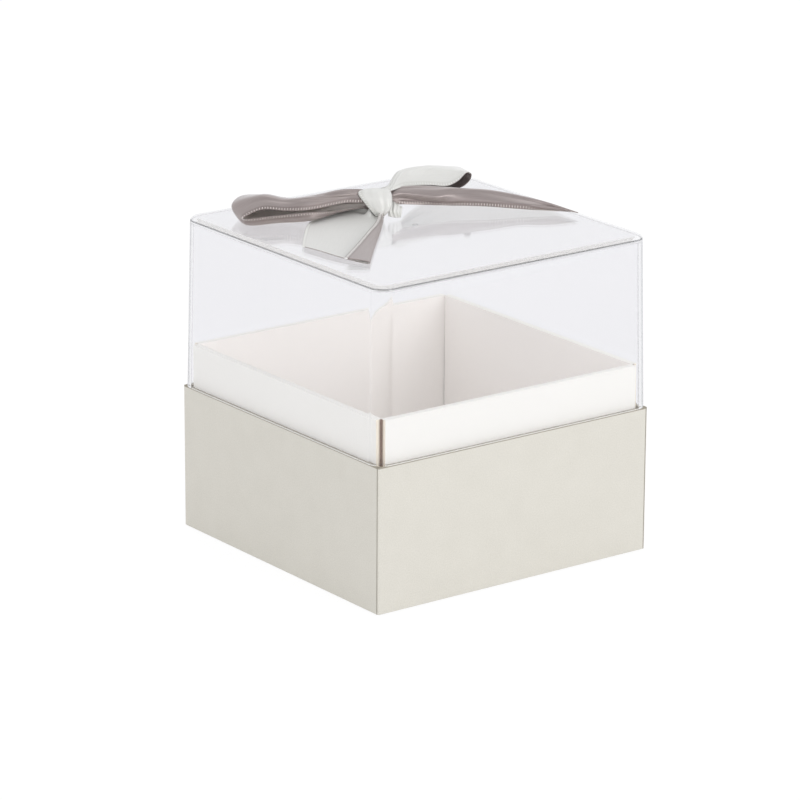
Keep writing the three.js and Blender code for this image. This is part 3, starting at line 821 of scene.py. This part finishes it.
FRONT_TAIL = [
    [(-18, 11, 3), (-17, 10.5, 3.4), (-16, 10, 3.6), (-14.5, 9.5, 3.4)]
    + [(-13, 9, 2.6), (-13, 8.6, 3.2), (-13.6, 8.6, 4)],
    [(-22.8, 12.4, 2.2), (-20, 9, 2.3), (-17.5, 6, 2.3), (-15, 4.2, 1.9)]
    + [(-11.6, 2.6, 1.3), (-11.7, 2.2, 2.5), (-13, 1.8, 3.2)],
    [(-30.2, 12, 1.3), (-25.8, 5.4, 1.5), (-21.1, -0.6, 1.4), (-16, -4.4, 1.2)]
    + [(-12.2, -7.2, 0.7), (-12.2, -7.5, 1.8), (-14.2, -8, 2.8)],
    [(-37.5, -0, 0.7), (-31, -6.2, 1), (-25.2, -11, 0.9), (-19.1, -15, 0.8)]
    + [(-13.3, -18, 0.5), (-13.4, -18.2, 1.6), (-16.8, -19.2, 2.5)],
    [(-39.2, -17.4, 0.8), (-32.8, -22.8, 0.8), (-26.4, -27, 0.6), (-20, -31, 0.5)]
    + [(-14.8, -33.6, 0.4), (-14.8, -33.8, 1.3), (-20.3, -34.2, 2.1)],
    [(-39.5, -33, 0.9), (-33.9, -38.8, 1.1), (-27.5, -45.6, 1), (-21.9, -50.4, 0.8)]
    + [(-16.5, -54, 0.6), (-16.5, -54.2, 1.4), (-24.5, -52.2, 2.1)],
]
KNOT_FOLD = [
    [(-9.6, 9.6, 6.2), (-9.4, 8.2, 4.8), (-9.6, 7.2, 3.2), (-9.4, 6.6, 1.4)],
    [(-8.2, 9.8, 6), (-7.6, 8.4, 4.9), (-7.8, 7.4, 3.2), (-7.6, 6.9, 0.9)],
    [(-6.6, 10.2, 5.2), (-6, 9, 4.5), (-6.2, 7.9, 2.9), (-6, 7.3, 0.7)],
    [(-5.1, 10.6, 4), (-4.7, 9.6, 3.6), (-4.9, 8.6, 2.3), (-5.1, 7.9, 0.6)],
]
print("guide lines:", len(LEFT_LOOP), len(RIGHT_LOOP), len(RIGHT_TAIL), len(FRONT_TAIL))


# %% [markdown]
# ## From guide points to cloth
# A spline that passes through its points keeps each one where it was placed, which a Bezier surface
# would not. It runs twice: along the ribbon for each rail, and then across the rails for each row.
# The normal of a row's point comes from its neighbours, and tells which way is up for the cloth.

# %% A smooth surface through guide points
def smooth_point(points, share):
    place = share * (len(points) - 1)
    i = min(int(place), len(points) - 2)
    t = place - i
    p1, p2 = points[i], points[i + 1]
    p0 = points[i - 1] if i > 0 else 2 * p1 - p2
    p3 = points[i + 2] if i + 2 < len(points) else 2 * p2 - p1
    return p1 + 0.5 * t * (
        p2 - p0 + t * (2 * p0 - 5 * p1 + 4 * p2 - p3 + t * (3 * (p1 - p2) + p3 - p0))
    )


def on_lid(point):
    cos, sin = math.cos(BOW_TURN), math.sin(BOW_TURN)
    x = point.x * cos - point.y * sin
    y = point.x * sin + point.y * cos
    return Vector((x * MM, y * MM, (LID_HIGH_MM + point.z) * MM))


def lay_ribbon(guides, along, across):
    lines = [[Vector(p) for p in line] for line in guides]
    rows = []
    for r in range(along + 1):
        rails = [smooth_point([line[k] for line in lines], r / along) for k in range(len(lines[0]))]
        rows.append([on_lid(smooth_point(rails, c / across)) for c in range(across + 1)])
    return rows


def normals_of(rows):
    result = []
    for r, row in enumerate(rows):
        line = []
        for c in range(len(row)):
            down = rows[min(r + 1, len(rows) - 1)][c] - rows[max(r - 1, 0)][c]
            side = row[min(c + 1, len(row) - 1)] - row[max(c - 1, 0)]
            line.append(down.cross(side).normalized())
        result.append(line)
    return result


sample = lay_ribbon(LEFT_LOOP, 40, 12)
print("left loop starts at", [round(v, 4) for v in sample[0][6]])


# %% [markdown]
# ## Pleats
# A ribbon of 38 mm has to pass a knot of 9 mm, so it gathers into pleats there, which smooth out
# within 1 to 4 cm. For each row across the ribbon the missing width is measured, and pleats take it
# up, as deep as a limit allows. They lie in the part that the hand pushed together, towards the back,
# and the front edge stays smooth and tight. The search for the right depth halves its range each
# time, as one looks up a word, and the depths are then evened out along the ribbon.

# %% Pleats
RIBBON_WIDTH_MM = 38.0
PLEAT_LIMIT_MM = 1.5
PLEAT_SEARCHES = 12
EVEN_ROWS = 3
FIRST_PHASE = 0.4
PHASE_DRIFT = 0.01
FULL_WITHIN = 0.4
SMOOTH_FADE = 0.3


def row_width(row):
    return sum((row[c + 1] - row[c]).length for c in range(len(row) - 1)) / MM


def fade(share, low, high):
    t = min(max((share - low) / (high - low), 0.0), 1.0)
    return t * t * (3 - 2 * t)


def pleat_row(row, line, depth_mm, count, smooth_from, phase):
    result = []
    for c, (point, normal) in enumerate(zip(row, line)):
        share = c / (len(row) - 1)
        weight = 1 - fade(share, smooth_from - SMOOTH_FADE, smooth_from)
        wave = math.sin(2 * math.pi * count * share / smooth_from + phase)
        result.append(point + normal * (depth_mm * weight * wave * MM))
    return result


def pleated(rows, knot_ends, reach_mm, count, smooth_from):
    normals = normals_of(rows)
    middle = len(rows[0]) // 2
    lengths = [0.0]
    for r in range(1, len(rows)):
        lengths.append(lengths[-1] + (rows[r][middle] - rows[r - 1][middle]).length / MM)
    depths = []
    for row, line, length in zip(rows, normals, lengths):
        away = min([length] * ("start" in knot_ends) + [lengths[-1] - length] * ("end" in knot_ends))
        low, high = 0.0, PLEAT_LIMIT_MM * (1 - fade(away, reach_mm * FULL_WITHIN, reach_mm))
        for _ in range(PLEAT_SEARCHES):
            depth = (low + high) / 2
            tried = pleat_row(row, line, depth, count, smooth_from, FIRST_PHASE)
            if row_width(tried) < RIBBON_WIDTH_MM:
                low = depth
            else:
                high = depth
        depths.append(low)
    even = []
    for r in range(len(depths)):
        near = depths[max(r - EVEN_ROWS, 0) : r + EVEN_ROWS + 1]
        even.append(sum(near) / len(near))
    return [
        pleat_row(row, line, depth, count, smooth_from, FIRST_PHASE + PHASE_DRIFT * r)
        for r, (row, line, depth) in enumerate(zip(rows, normals, even))
    ]


print("pleats: up to", PLEAT_LIMIT_MM, "mm either way")


# %% [markdown]
# ## Thickness and two faces
# The cloth is 0.26 mm thick. Solidify could do that, but here the two faces need different finishes
# and one UV map in millimetres, so the upper and lower skins and the rim are written out. The UV
# map holds how far along and across the ribbon each point is, and an attribute holds how far it is
# from the nearer selvedge.

# %% Cloth from rows of points
def cloth_from(name, rows, above, below, cut_shows=0):
    normals = normals_of(rows)
    half = RIBBON_THICK_MM / 2 * MM
    count, lines = len(rows[0]), len(rows)
    upper = [p + n * half for row, ns in zip(rows, normals) for p, n in zip(row, ns)]
    lower = [p - n * half for row, ns in zip(rows, normals) for p, n in zip(row, ns)]
    points = upper + lower
    offset = len(upper)
    faces, kinds = [], []
    for r in range(lines - 1):
        for c in range(count - 1):
            a = r * count + c
            faces.append((a, a + count, a + count + 1, a + 1))
            kinds.append(0)
            faces.append(tuple(offset + k for k in (a, a + 1, a + count + 1, a + count)))
            kinds.append(1)
    border = list(range(count))
    border += [r * count + count - 1 for r in range(1, lines)]
    border += [(lines - 1) * count + c for c in range(count - 2, -1, -1)]
    border += [r * count for r in range(lines - 2, 0, -1)]
    shows = [cut_shows] * (count - 1) + [0] * (lines - 1) + [cut_shows] * (count - 1) + [0] * (lines - 1)
    for here, there, kind in zip(border, border[1:] + border[:1], shows):
        faces.append((here, there, there + offset, here + offset))
        kinds.append(kind)
    piece = object_from(name, points, faces, [above, below])
    piece.data.polygons.foreach_set("material_index", kinds)
    lay_uv(piece, rows)
    return piece


def lay_uv(piece, rows):
    count, lines = len(rows[0]), len(rows)
    middle = count // 2
    along = [0.0]
    for r in range(1, lines):
        along.append(along[-1] + (rows[r][middle] - rows[r - 1][middle]).length / MM)
    places = []
    for r, row in enumerate(rows):
        across = 0.0
        for c in range(count):
            if c:
                across += (row[c] - row[c - 1]).length / MM
            places.append((along[r], across))
    places = places + places
    layer = piece.data.uv_layers.new(name="ribbon_mm")
    for loop in piece.data.loops:
        layer.data[loop.index].uv = places[loop.vertex_index]
    nearest = []
    for r in range(lines):
        total = places[r * count + count - 1][1]
        nearest += [min(places[r * count + c][1], total - places[r * count + c][1]) for c in range(count)]
    held = piece.data.attributes.new("edge_mm", "FLOAT", "POINT")
    held.data.foreach_set("value", nearest + nearest)


print("cloth:", RIBBON_THICK_MM, "mm thick")


# %% [markdown]
# ## Selvedge stitches
# Along both edges of the ribbon runs a row of tiny raised stitches, each 1.4 mm long and laid across
# the edge. The real ones are about 0.8 mm apart; they are set 1 mm apart, so that they show one by one.
# Placing several hundred beads by hand or in a loop is slow to change. Geometry Nodes do it well: the
# edge becomes a curve, is resampled at the stitch pitch, and a small bead is set on each point, turned
# by two vectors that the edge carries with it. The tree ends as a real mesh with its thread on it.

# %% Stitch tree
def stitch_tree():
    tree = bpy.data.node_groups.new("selvedge_stitches", "GeometryNodeTree")
    face = tree.interface
    face.new_socket("Geometry", in_out="INPUT", socket_type="NodeSocketGeometry")
    for title in ("Pitch", "Stitch Length", "Stitch Width", "Stitch Height"):
        face.new_socket(title, in_out="INPUT", socket_type="NodeSocketFloat")
    face.new_socket("Thread", in_out="INPUT", socket_type="NodeSocketMaterial")
    face.new_socket("Geometry", in_out="OUTPUT", socket_type="NodeSocketGeometry")
    given = add(tree, "NodeGroupInput")
    across = add(tree, "GeometryNodeInputNamedAttribute", {"Name": "across"}, data_type="FLOAT_VECTOR")
    outward = add(tree, "GeometryNodeInputNamedAttribute", {"Name": "outward"}, data_type="FLOAT_VECTOR")
    curve = add(tree, "GeometryNodeMeshToCurve", {"Mesh": given.outputs["Geometry"]})
    spaced = add(
        tree,
        "GeometryNodeResampleCurve",
        {"Curve": curve.outputs[0], "Length": given.outputs["Pitch"]},
        mode="LENGTH",
    )
    bead = add(tree, "GeometryNodeMeshUVSphere", {"Segments": 6, "Rings": 4, "Radius": 0.5})
    size = add(
        tree,
        "ShaderNodeCombineXYZ",
        {
            0: given.outputs["Stitch Length"],
            1: given.outputs["Stitch Width"],
            2: given.outputs["Stitch Height"],
        },
    )
    turn = add(
        tree,
        "FunctionNodeAxesToRotation",
        {0: outward.outputs[0], 1: across.outputs[0]},
        primary_axis="Z",
        secondary_axis="X",
    )
    beads = add(
        tree,
        "GeometryNodeInstanceOnPoints",
        {
            "Points": spaced.outputs[0],
            "Instance": bead.outputs["Mesh"],
            "Rotation": turn.outputs[0],
            "Scale": size.outputs[0],
        },
    )
    real = add(tree, "GeometryNodeRealizeInstances", {0: beads.outputs[0]})
    sewn = {"Geometry": real.outputs[0], "Material": given.outputs["Thread"]}
    dyed = add(tree, "GeometryNodeSetMaterial", sewn)
    add(tree, "NodeGroupOutput", {0: dyed.outputs[0]})
    return tree


STITCH_PITCH_MM = 1.0
STITCH_LONG_MM = 1.4
STITCH_WIDE_MM = 0.42
STITCH_HIGH_MM = 0.55
EDGE_INSET_MM = 0.65
stitches = stitch_tree()
print("stitch tree:", len(stitches.nodes), "nodes")


# %% [markdown]
# ## Along an edge
# A path a little inside the selvedge carries the two directions as attributes. The tree's inputs are
# set by their identifiers before the path is first evaluated, and the result is kept as a plain mesh,
# so that nothing depends on the modifier any more.

# %% Run the tree along the edges of a stretch
def edge_path(name, rows, column, inward):
    normals = normals_of(rows)
    points, across, outward = [], [], []
    for r, row in enumerate(rows):
        step = (row[inward] - row[column]).normalized()
        points.append(row[column] + step * (EDGE_INSET_MM * MM))
        across.append(step)
        outward.append(normals[r][column])
    mesh = bpy.data.meshes.new(name)
    mesh.from_pydata([tuple(p) for p in points], [(i, i + 1) for i in range(len(points) - 1)], [])
    for title, values in (("across", across), ("outward", outward)):
        held = mesh.attributes.new(title, "FLOAT_VECTOR", "POINT")
        held.data.foreach_set("vector", [v for vector in values for v in vector])
    path = bpy.data.objects.new(name, mesh)
    bpy.context.scene.collection.objects.link(path)
    return path


def stitch_edge(name, rows, column, inward, thread):
    path = edge_path(name + "_path", rows, column, inward)
    run = path.modifiers.new("stitches", "NODES")
    run.node_group = stitches
    wanted = {
        "Pitch": STITCH_PITCH_MM * MM,
        "Stitch Length": STITCH_LONG_MM * MM,
        "Stitch Width": STITCH_WIDE_MM * MM,
        "Stitch Height": STITCH_HIGH_MM * MM,
        "Thread": thread,
    }
    for item in stitches.interface.items_tree:
        if item.item_type == "SOCKET" and item.in_out == "INPUT" and item.name in wanted:
            run[item.identifier] = wanted[item.name]
    ready = path.evaluated_get(bpy.context.evaluated_depsgraph_get())
    mesh = bpy.data.meshes.new_from_object(ready)
    mesh.name = name
    mesh.materials.clear()
    mesh.materials.append(thread)
    mesh.polygons.foreach_set("material_index", [0] * len(mesh.polygons))
    print(name, len(mesh.polygons), "faces")
    made = bpy.data.objects.new(name, mesh)
    bpy.context.scene.collection.objects.link(made)
    bpy.data.objects.remove(path)
    return made


# %% [markdown]
# ## Thread
# Polyester thread is glossier than cotton, but twisted, so its gloss breaks up into a soft light tone.
# It stands up from the cloth and catches more light, and that light is painted into its tone, which is
# paler than the satin.

# %% Thread of the selvedge
def thread_finish(name, dark, pale):
    material, tree = new_material(name)
    fine = grain(tree, 0.3)
    tones = {SHARE: fine.outputs[0], FIRST: linear(dark), SECOND: linear(pale)}
    mixed = add(tree, "ShaderNodeMix", tones, data_type="RGBA")
    soft = {"Base Color": mixed.outputs[MIXED], "Roughness": 0.5, "Sheen Weight": 0.3}
    surface(tree, add(tree, "ShaderNodeBsdfPrincipled", soft).outputs[0])
    return material


# Painted light: both threads are toned paler than the cloth for the light they catch.
taupe_thread_painted_light = thread_finish("polyester_thread_taupe_painted_lighter", "#d8ceca", "#e8e0dc")
pale_thread_painted_light = thread_finish("polyester_thread_pale_painted_lighter", "#e9e9e5", "#f4f4f0")
print("threads:", taupe_thread_painted_light.name, pale_thread_painted_light.name)


# %% [markdown]
# ## The four stretches of the ribbon
# Each stretch is laid, pleated towards the knot, given its thickness and its two faces, and stitched
# along both edges. It takes the place of the plain solid of the same stretch and rides on the lid.
# The right loop's front selvedge turns under at its tip, so its stitches stop there. The cut ends of
# the tails show the cloth of their lower face.

# %% Lay and stitch the stretches
def ribbon_length(rows, column=None):
    middle = len(rows[0]) // 2 if column is None else column
    return sum((rows[r][middle] - rows[r - 1][middle]).length for r in range(1, len(rows)))


def make_stretch(name, guides, steps, faces, thread, pleats, node, cut_shows=0, stitched=1.0):
    rows = pleated(lay_ribbon(guides, *steps), *pleats)
    print(name, "is", [round(row_width(rows[k]), 1) for k in range(0, len(rows), 20)], "mm wide")
    cloth = cloth_from(name, rows, *faces, cut_shows)
    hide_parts(node)
    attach(cloth, "lid")
    edges = []
    last = len(rows[0]) - 1
    shown = rows[: int(stitched * len(rows))]
    for title, part, column, inward in (("back", rows, 0, 2), ("front", shown, last, last - 2)):
        edge = stitch_edge(f"{name}_{title}_stitches", part, column, inward, thread)
        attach(edge, "lid")
        edges.append(edge)
    length = ribbon_length(rows)
    print(name, "runs", round(length * 1000, 1), "mm,", len(cloth.data.polygons), "faces")
    return cloth, edges, length


left_loop, left_edges, left_length = make_stretch(
    "left_loop",
    LEFT_LOOP,
    (150, 72),
    (taupe_satin, pale_satin_painted_warm),
    taupe_thread_painted_light,
    (("start", "end"), 24, 5, 0.7),
    "bow_left_loop",
)
right_loop, right_edges, right_length = make_stretch(
    "right_loop",
    RIGHT_LOOP,
    (130, 72),
    (taupe_satin, pale_satin),
    pale_thread_painted_light,
    (("start", "end"), 26, 5, 0.6),
    "bow_right_loop",
    stitched=0.56,
)
right_tail, right_tail_edges, right_tail_length = make_stretch(
    "right_tail",
    RIGHT_TAIL,
    (110, 72),
    (pale_satin, taupe_satin),
    taupe_thread_painted_light,
    (("start",), 36, 4, 0.45),
    "bow_right_tail",
    cut_shows=1,
)
front_tail, front_tail_edges, front_tail_length = make_stretch(
    "front_tail",
    FRONT_TAIL,
    (100, 84),
    (pale_satin, taupe_satin),
    pale_thread_painted_light,
    (("start",), 8, 2, 0.7),
    "bow_front_tail",
    cut_shows=1,
)


# %% [markdown]
# ## Core of the knot
# Inside the knot the gathered ribbon is pressed into a firm lump, of which only a little taupe shows
# between the band and the loops. It is a soft closed form: rings round the knot's own axis, fuller in
# the middle and wider at the top, with shallow creases.

# %% Core of the knot
KNOT_MIDDLE_MM = (-14.0, 9.6)
KNOT_LOW_MM = 1.4
KNOT_HIGH_MM = 11.0
KNOT_HALF_DEPTH_MM = 4.6
KNOT_HALF_WIDTH_TOP_MM = 5.2
KNOT_HALF_WIDTH_LOW_MM = 3.4
KNOT_LEAN_MM = 1.8
LEAN_FROM = 0.2
END_DROP = 0.82
CORE_SWELL = 0.78
CREASE_HEIGHTS = (0.035, 0.02)
CREASE_TURNS = (9, 17)
CREASE_DRIFT = 1.3


def knot_point(side, angle, swell):
    middle = (KNOT_LOW_MM + KNOT_HIGH_MM) / 2
    half_height = (KNOT_HIGH_MM - KNOT_LOW_MM) / 2 * swell
    fullness = math.sqrt(1 - END_DROP * side * side)
    up = math.sin(angle)
    share = (up + 1) / 2
    width = KNOT_HALF_WIDTH_LOW_MM + (KNOT_HALF_WIDTH_TOP_MM - KNOT_HALF_WIDTH_LOW_MM) * share
    crease = 1 + CREASE_HEIGHTS[0] * math.sin(CREASE_TURNS[0] * side + CREASE_DRIFT * up)
    crease += CREASE_HEIGHTS[1] * math.sin(CREASE_TURNS[1] * side + angle)
    return on_lid(
        Vector(
            (
                KNOT_MIDDLE_MM[0] + side * width - KNOT_LEAN_MM * (up - LEAN_FROM) / 2,
                KNOT_MIDDLE_MM[1] + KNOT_HALF_DEPTH_MM * swell * fullness * crease * math.cos(angle),
                middle + half_height * fullness * crease * up,
            )
        )
    )


def make_core(material):
    turns, steps = 48, 24
    points = [
        knot_point(-1 + 2 * s / steps, 2 * math.pi * t / turns, CORE_SWELL)
        for s in range(steps + 1)
        for t in range(turns)
    ]
    return object_from("knot_core", points, skin_rings(steps + 1, turns), [material])


def core_finish():
    material, tree = new_material("polyester_satin_gathered")
    tones = {SHARE: grain(tree, 1.2).outputs[0], FIRST: linear("#8f837d"), SECOND: linear("#a79b96")}
    tone = add(tree, "ShaderNodeMix", tones, data_type="RGBA")
    matt = {"Base Color": tone.outputs[MIXED], "Roughness": 0.45}
    surface(tree, add(tree, "ShaderNodeBsdfPrincipled", matt).outputs[0])
    return material


core = make_core(core_finish())
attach(core, "lid")
print("knot core", len(core.data.polygons), "faces")

# %% [markdown]
# ## Band of the knot
# Round the core goes the ribbon itself, pale face out, pulled tight and narrow. Its 38 mm have to go
# somewhere, so they lie in four layers, back and forth over each other, and the outermost one shows.
# Guide lines give its path, as for the loops, and three creases run the way it is pulled: each is a
# low wave with its height, its place across the band, how far it drifts, and its width.

# %% Band of the knot
KNOT_BAND = [
    [(-14.4, 7, 1.3), (-13.6, 6.6, 1.2), (-12.6, 6.4, 1.2), (-11.6, 6.6, 1.2), (-10.7, 7, 1.3)],
    [(-14.8, 5, 2.8), (-13.6, 4.3, 2.7), (-12.3, 4, 2.7), (-11, 4.2, 2.7), (-9.9, 4.9, 2.8)],
    [(-17, 5.2, 5.4), (-15.2, 4.3, 5.3), (-12.8, 3.9, 5.3), (-10.4, 4.2, 5.3), (-8.4, 5.2, 5.4)],
    [(-19, 6, 7.8), (-16.6, 5, 8.2), (-13.6, 4.6, 8.4), (-10.6, 5, 8.2), (-8.2, 6.2, 7.8)],
    [(-20.3, 8, 9.2), (-17.6, 7.2, 10.1), (-14, 6.8, 10.5), (-10.8, 7, 10.1), (-8.4, 8, 9.2)],
    [(-20, 10.5, 9.4), (-17.4, 10.2, 10.6), (-14.2, 10, 11), (-11, 10.2, 10.9), (-8.9, 10.6, 10)],
    [(-19, 12.8, 8.4), (-16.8, 13, 9.3), (-14.2, 13.2, 9.6), (-11.4, 13, 9.4), (-9.4, 12.8, 8.6)],
    [(-17.6, 14.2, 5.6), (-16, 14.6, 5.7), (-14, 14.8, 5.8), (-12, 14.6, 5.7), (-10.2, 14.2, 5.6)],
    [(-15.6, 13, 2.4), (-14.8, 13.2, 2.3), (-13.8, 13.4, 2.3), (-12.8, 13.2, 2.3), (-11.8, 13, 2.4)],
    [(-14.8, 10, 1.3), (-14, 10, 1.2), (-13, 10, 1.2), (-12, 10, 1.2), (-11, 10, 1.3)],
]
BAND_FOLDS = 4
BAND_STEPS = 24
BAND_TURNS = 64
BAND_LAYER = 0.05
BAND_CREASES = ((0.05, 0.84, 0.0, 0.07), (-0.06, 0.68, 0.0, 0.06), (-0.04, 0.22, 0.2, 0.05))
KNOT_AXIS = Vector((0, KNOT_MIDDLE_MM[1], 6.0))


def band_swell(layers_in, across, along):
    swell = 1 - BAND_LAYER * layers_in
    for height, place, drift, width in BAND_CREASES:
        away = (across - place - drift * along) / width
        swell += height * math.exp(-away * away)
    return swell


def band_rows():
    lines = [[Vector(p) for p in line] for line in KNOT_BAND]
    rows = []
    for r in range(BAND_TURNS + 1):
        along = r / BAND_TURNS
        rails = [smooth_point([line[k] for line in lines], along) for k in range(len(lines[0]))]
        row = []
        for s in range(BAND_FOLDS * BAND_STEPS + 1):
            layer, step = divmod(s, BAND_STEPS)
            across = step / BAND_STEPS if layer % 2 == 0 else 1 - step / BAND_STEPS
            point = smooth_point(rails, across)
            axis = Vector((point.x, KNOT_AXIS.y, KNOT_AXIS.z))
            row.append(on_lid(axis + (point - axis) * band_swell(s / BAND_STEPS, across, along)))
        rows.append(row)
    return rows


knot_rows = band_rows()
knot = cloth_from("knot_band", knot_rows, pale_satin, pale_satin)

# %% [markdown]
# ## Small fold beside the knot
# Where the band tucks under, a little of it comes out again at the right as a small fold with ridges.
# It is laid like the other stretches, its ridges are a wave along its normals, and it is joined to the
# band, because it is the same cloth.

# %% Small fold beside the knot
FOLD_STEPS = (40, 24)
FOLD_RIDGES = 3.5
FOLD_RIDGE_MM = 0.2
FOLD_SLANT = 0.12
fold_rows = lay_ribbon(KNOT_FOLD, *FOLD_STEPS)
fold_normals = normals_of(fold_rows)
for r, row in enumerate(fold_rows):
    for c in range(len(row)):
        slant = FOLD_SLANT * math.sin(3.0 * c / FOLD_STEPS[1])
        wave = math.sin(2 * math.pi * FOLD_RIDGES * (r / FOLD_STEPS[0] + slant))
        row[c] = row[c] + fold_normals[r][c] * (FOLD_RIDGE_MM * wave * MM)
fold = cloth_from("knot_fold", fold_rows, pale_satin, pale_satin)
pair = [knot, fold]
with bpy.context.temp_override(active_object=knot, object=knot, selected_editable_objects=pair):
    bpy.ops.object.join()
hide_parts("bow_knot", "bow_knot_fold")
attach(knot, "lid")
knot_edge = stitch_edge("knot_stitches", knot_rows, 0, 1, pale_thread_painted_light)
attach(knot_edge, "lid")
print("knot", len(knot.data.polygons), "faces")


# %% [markdown]
# ## Glue
# Nothing pierces the lid, so the bow is held by a dot of clear hot glue under the knot. Hot-melt glue
# sets clear but a little cloudy and yellow, with a soft gloss. The solid from the frame has the right
# shape, and only needs that look.

# %% Clear glue
def glue_finish():
    material, tree = new_material("clear_hot_melt_glue")
    path = add(tree, "ShaderNodeLightPath")
    cloudy = {
        "Base Color": linear("#f3f2ea"),
        "Roughness": 0.25,
        "IOR": 1.48,
        "Transmission Weight": 0.8,
    }
    shader = add(tree, "ShaderNodeBsdfPrincipled", cloudy)
    shadow = add(tree, "ShaderNodeBsdfTransparent", {"Color": (0.9, 0.9, 0.88, 1)})
    both = {0: path.outputs["Is Shadow Ray"], 1: shader.outputs[0], 2: shadow.outputs[0]}
    surface(tree, add(tree, "ShaderNodeMixShader", both).outputs[0])
    return material


hot_glue = glue_finish()
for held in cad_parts["glue_dot"].material_slots:
    held.material = hot_glue
print("glue_dot <-", hot_glue.name)
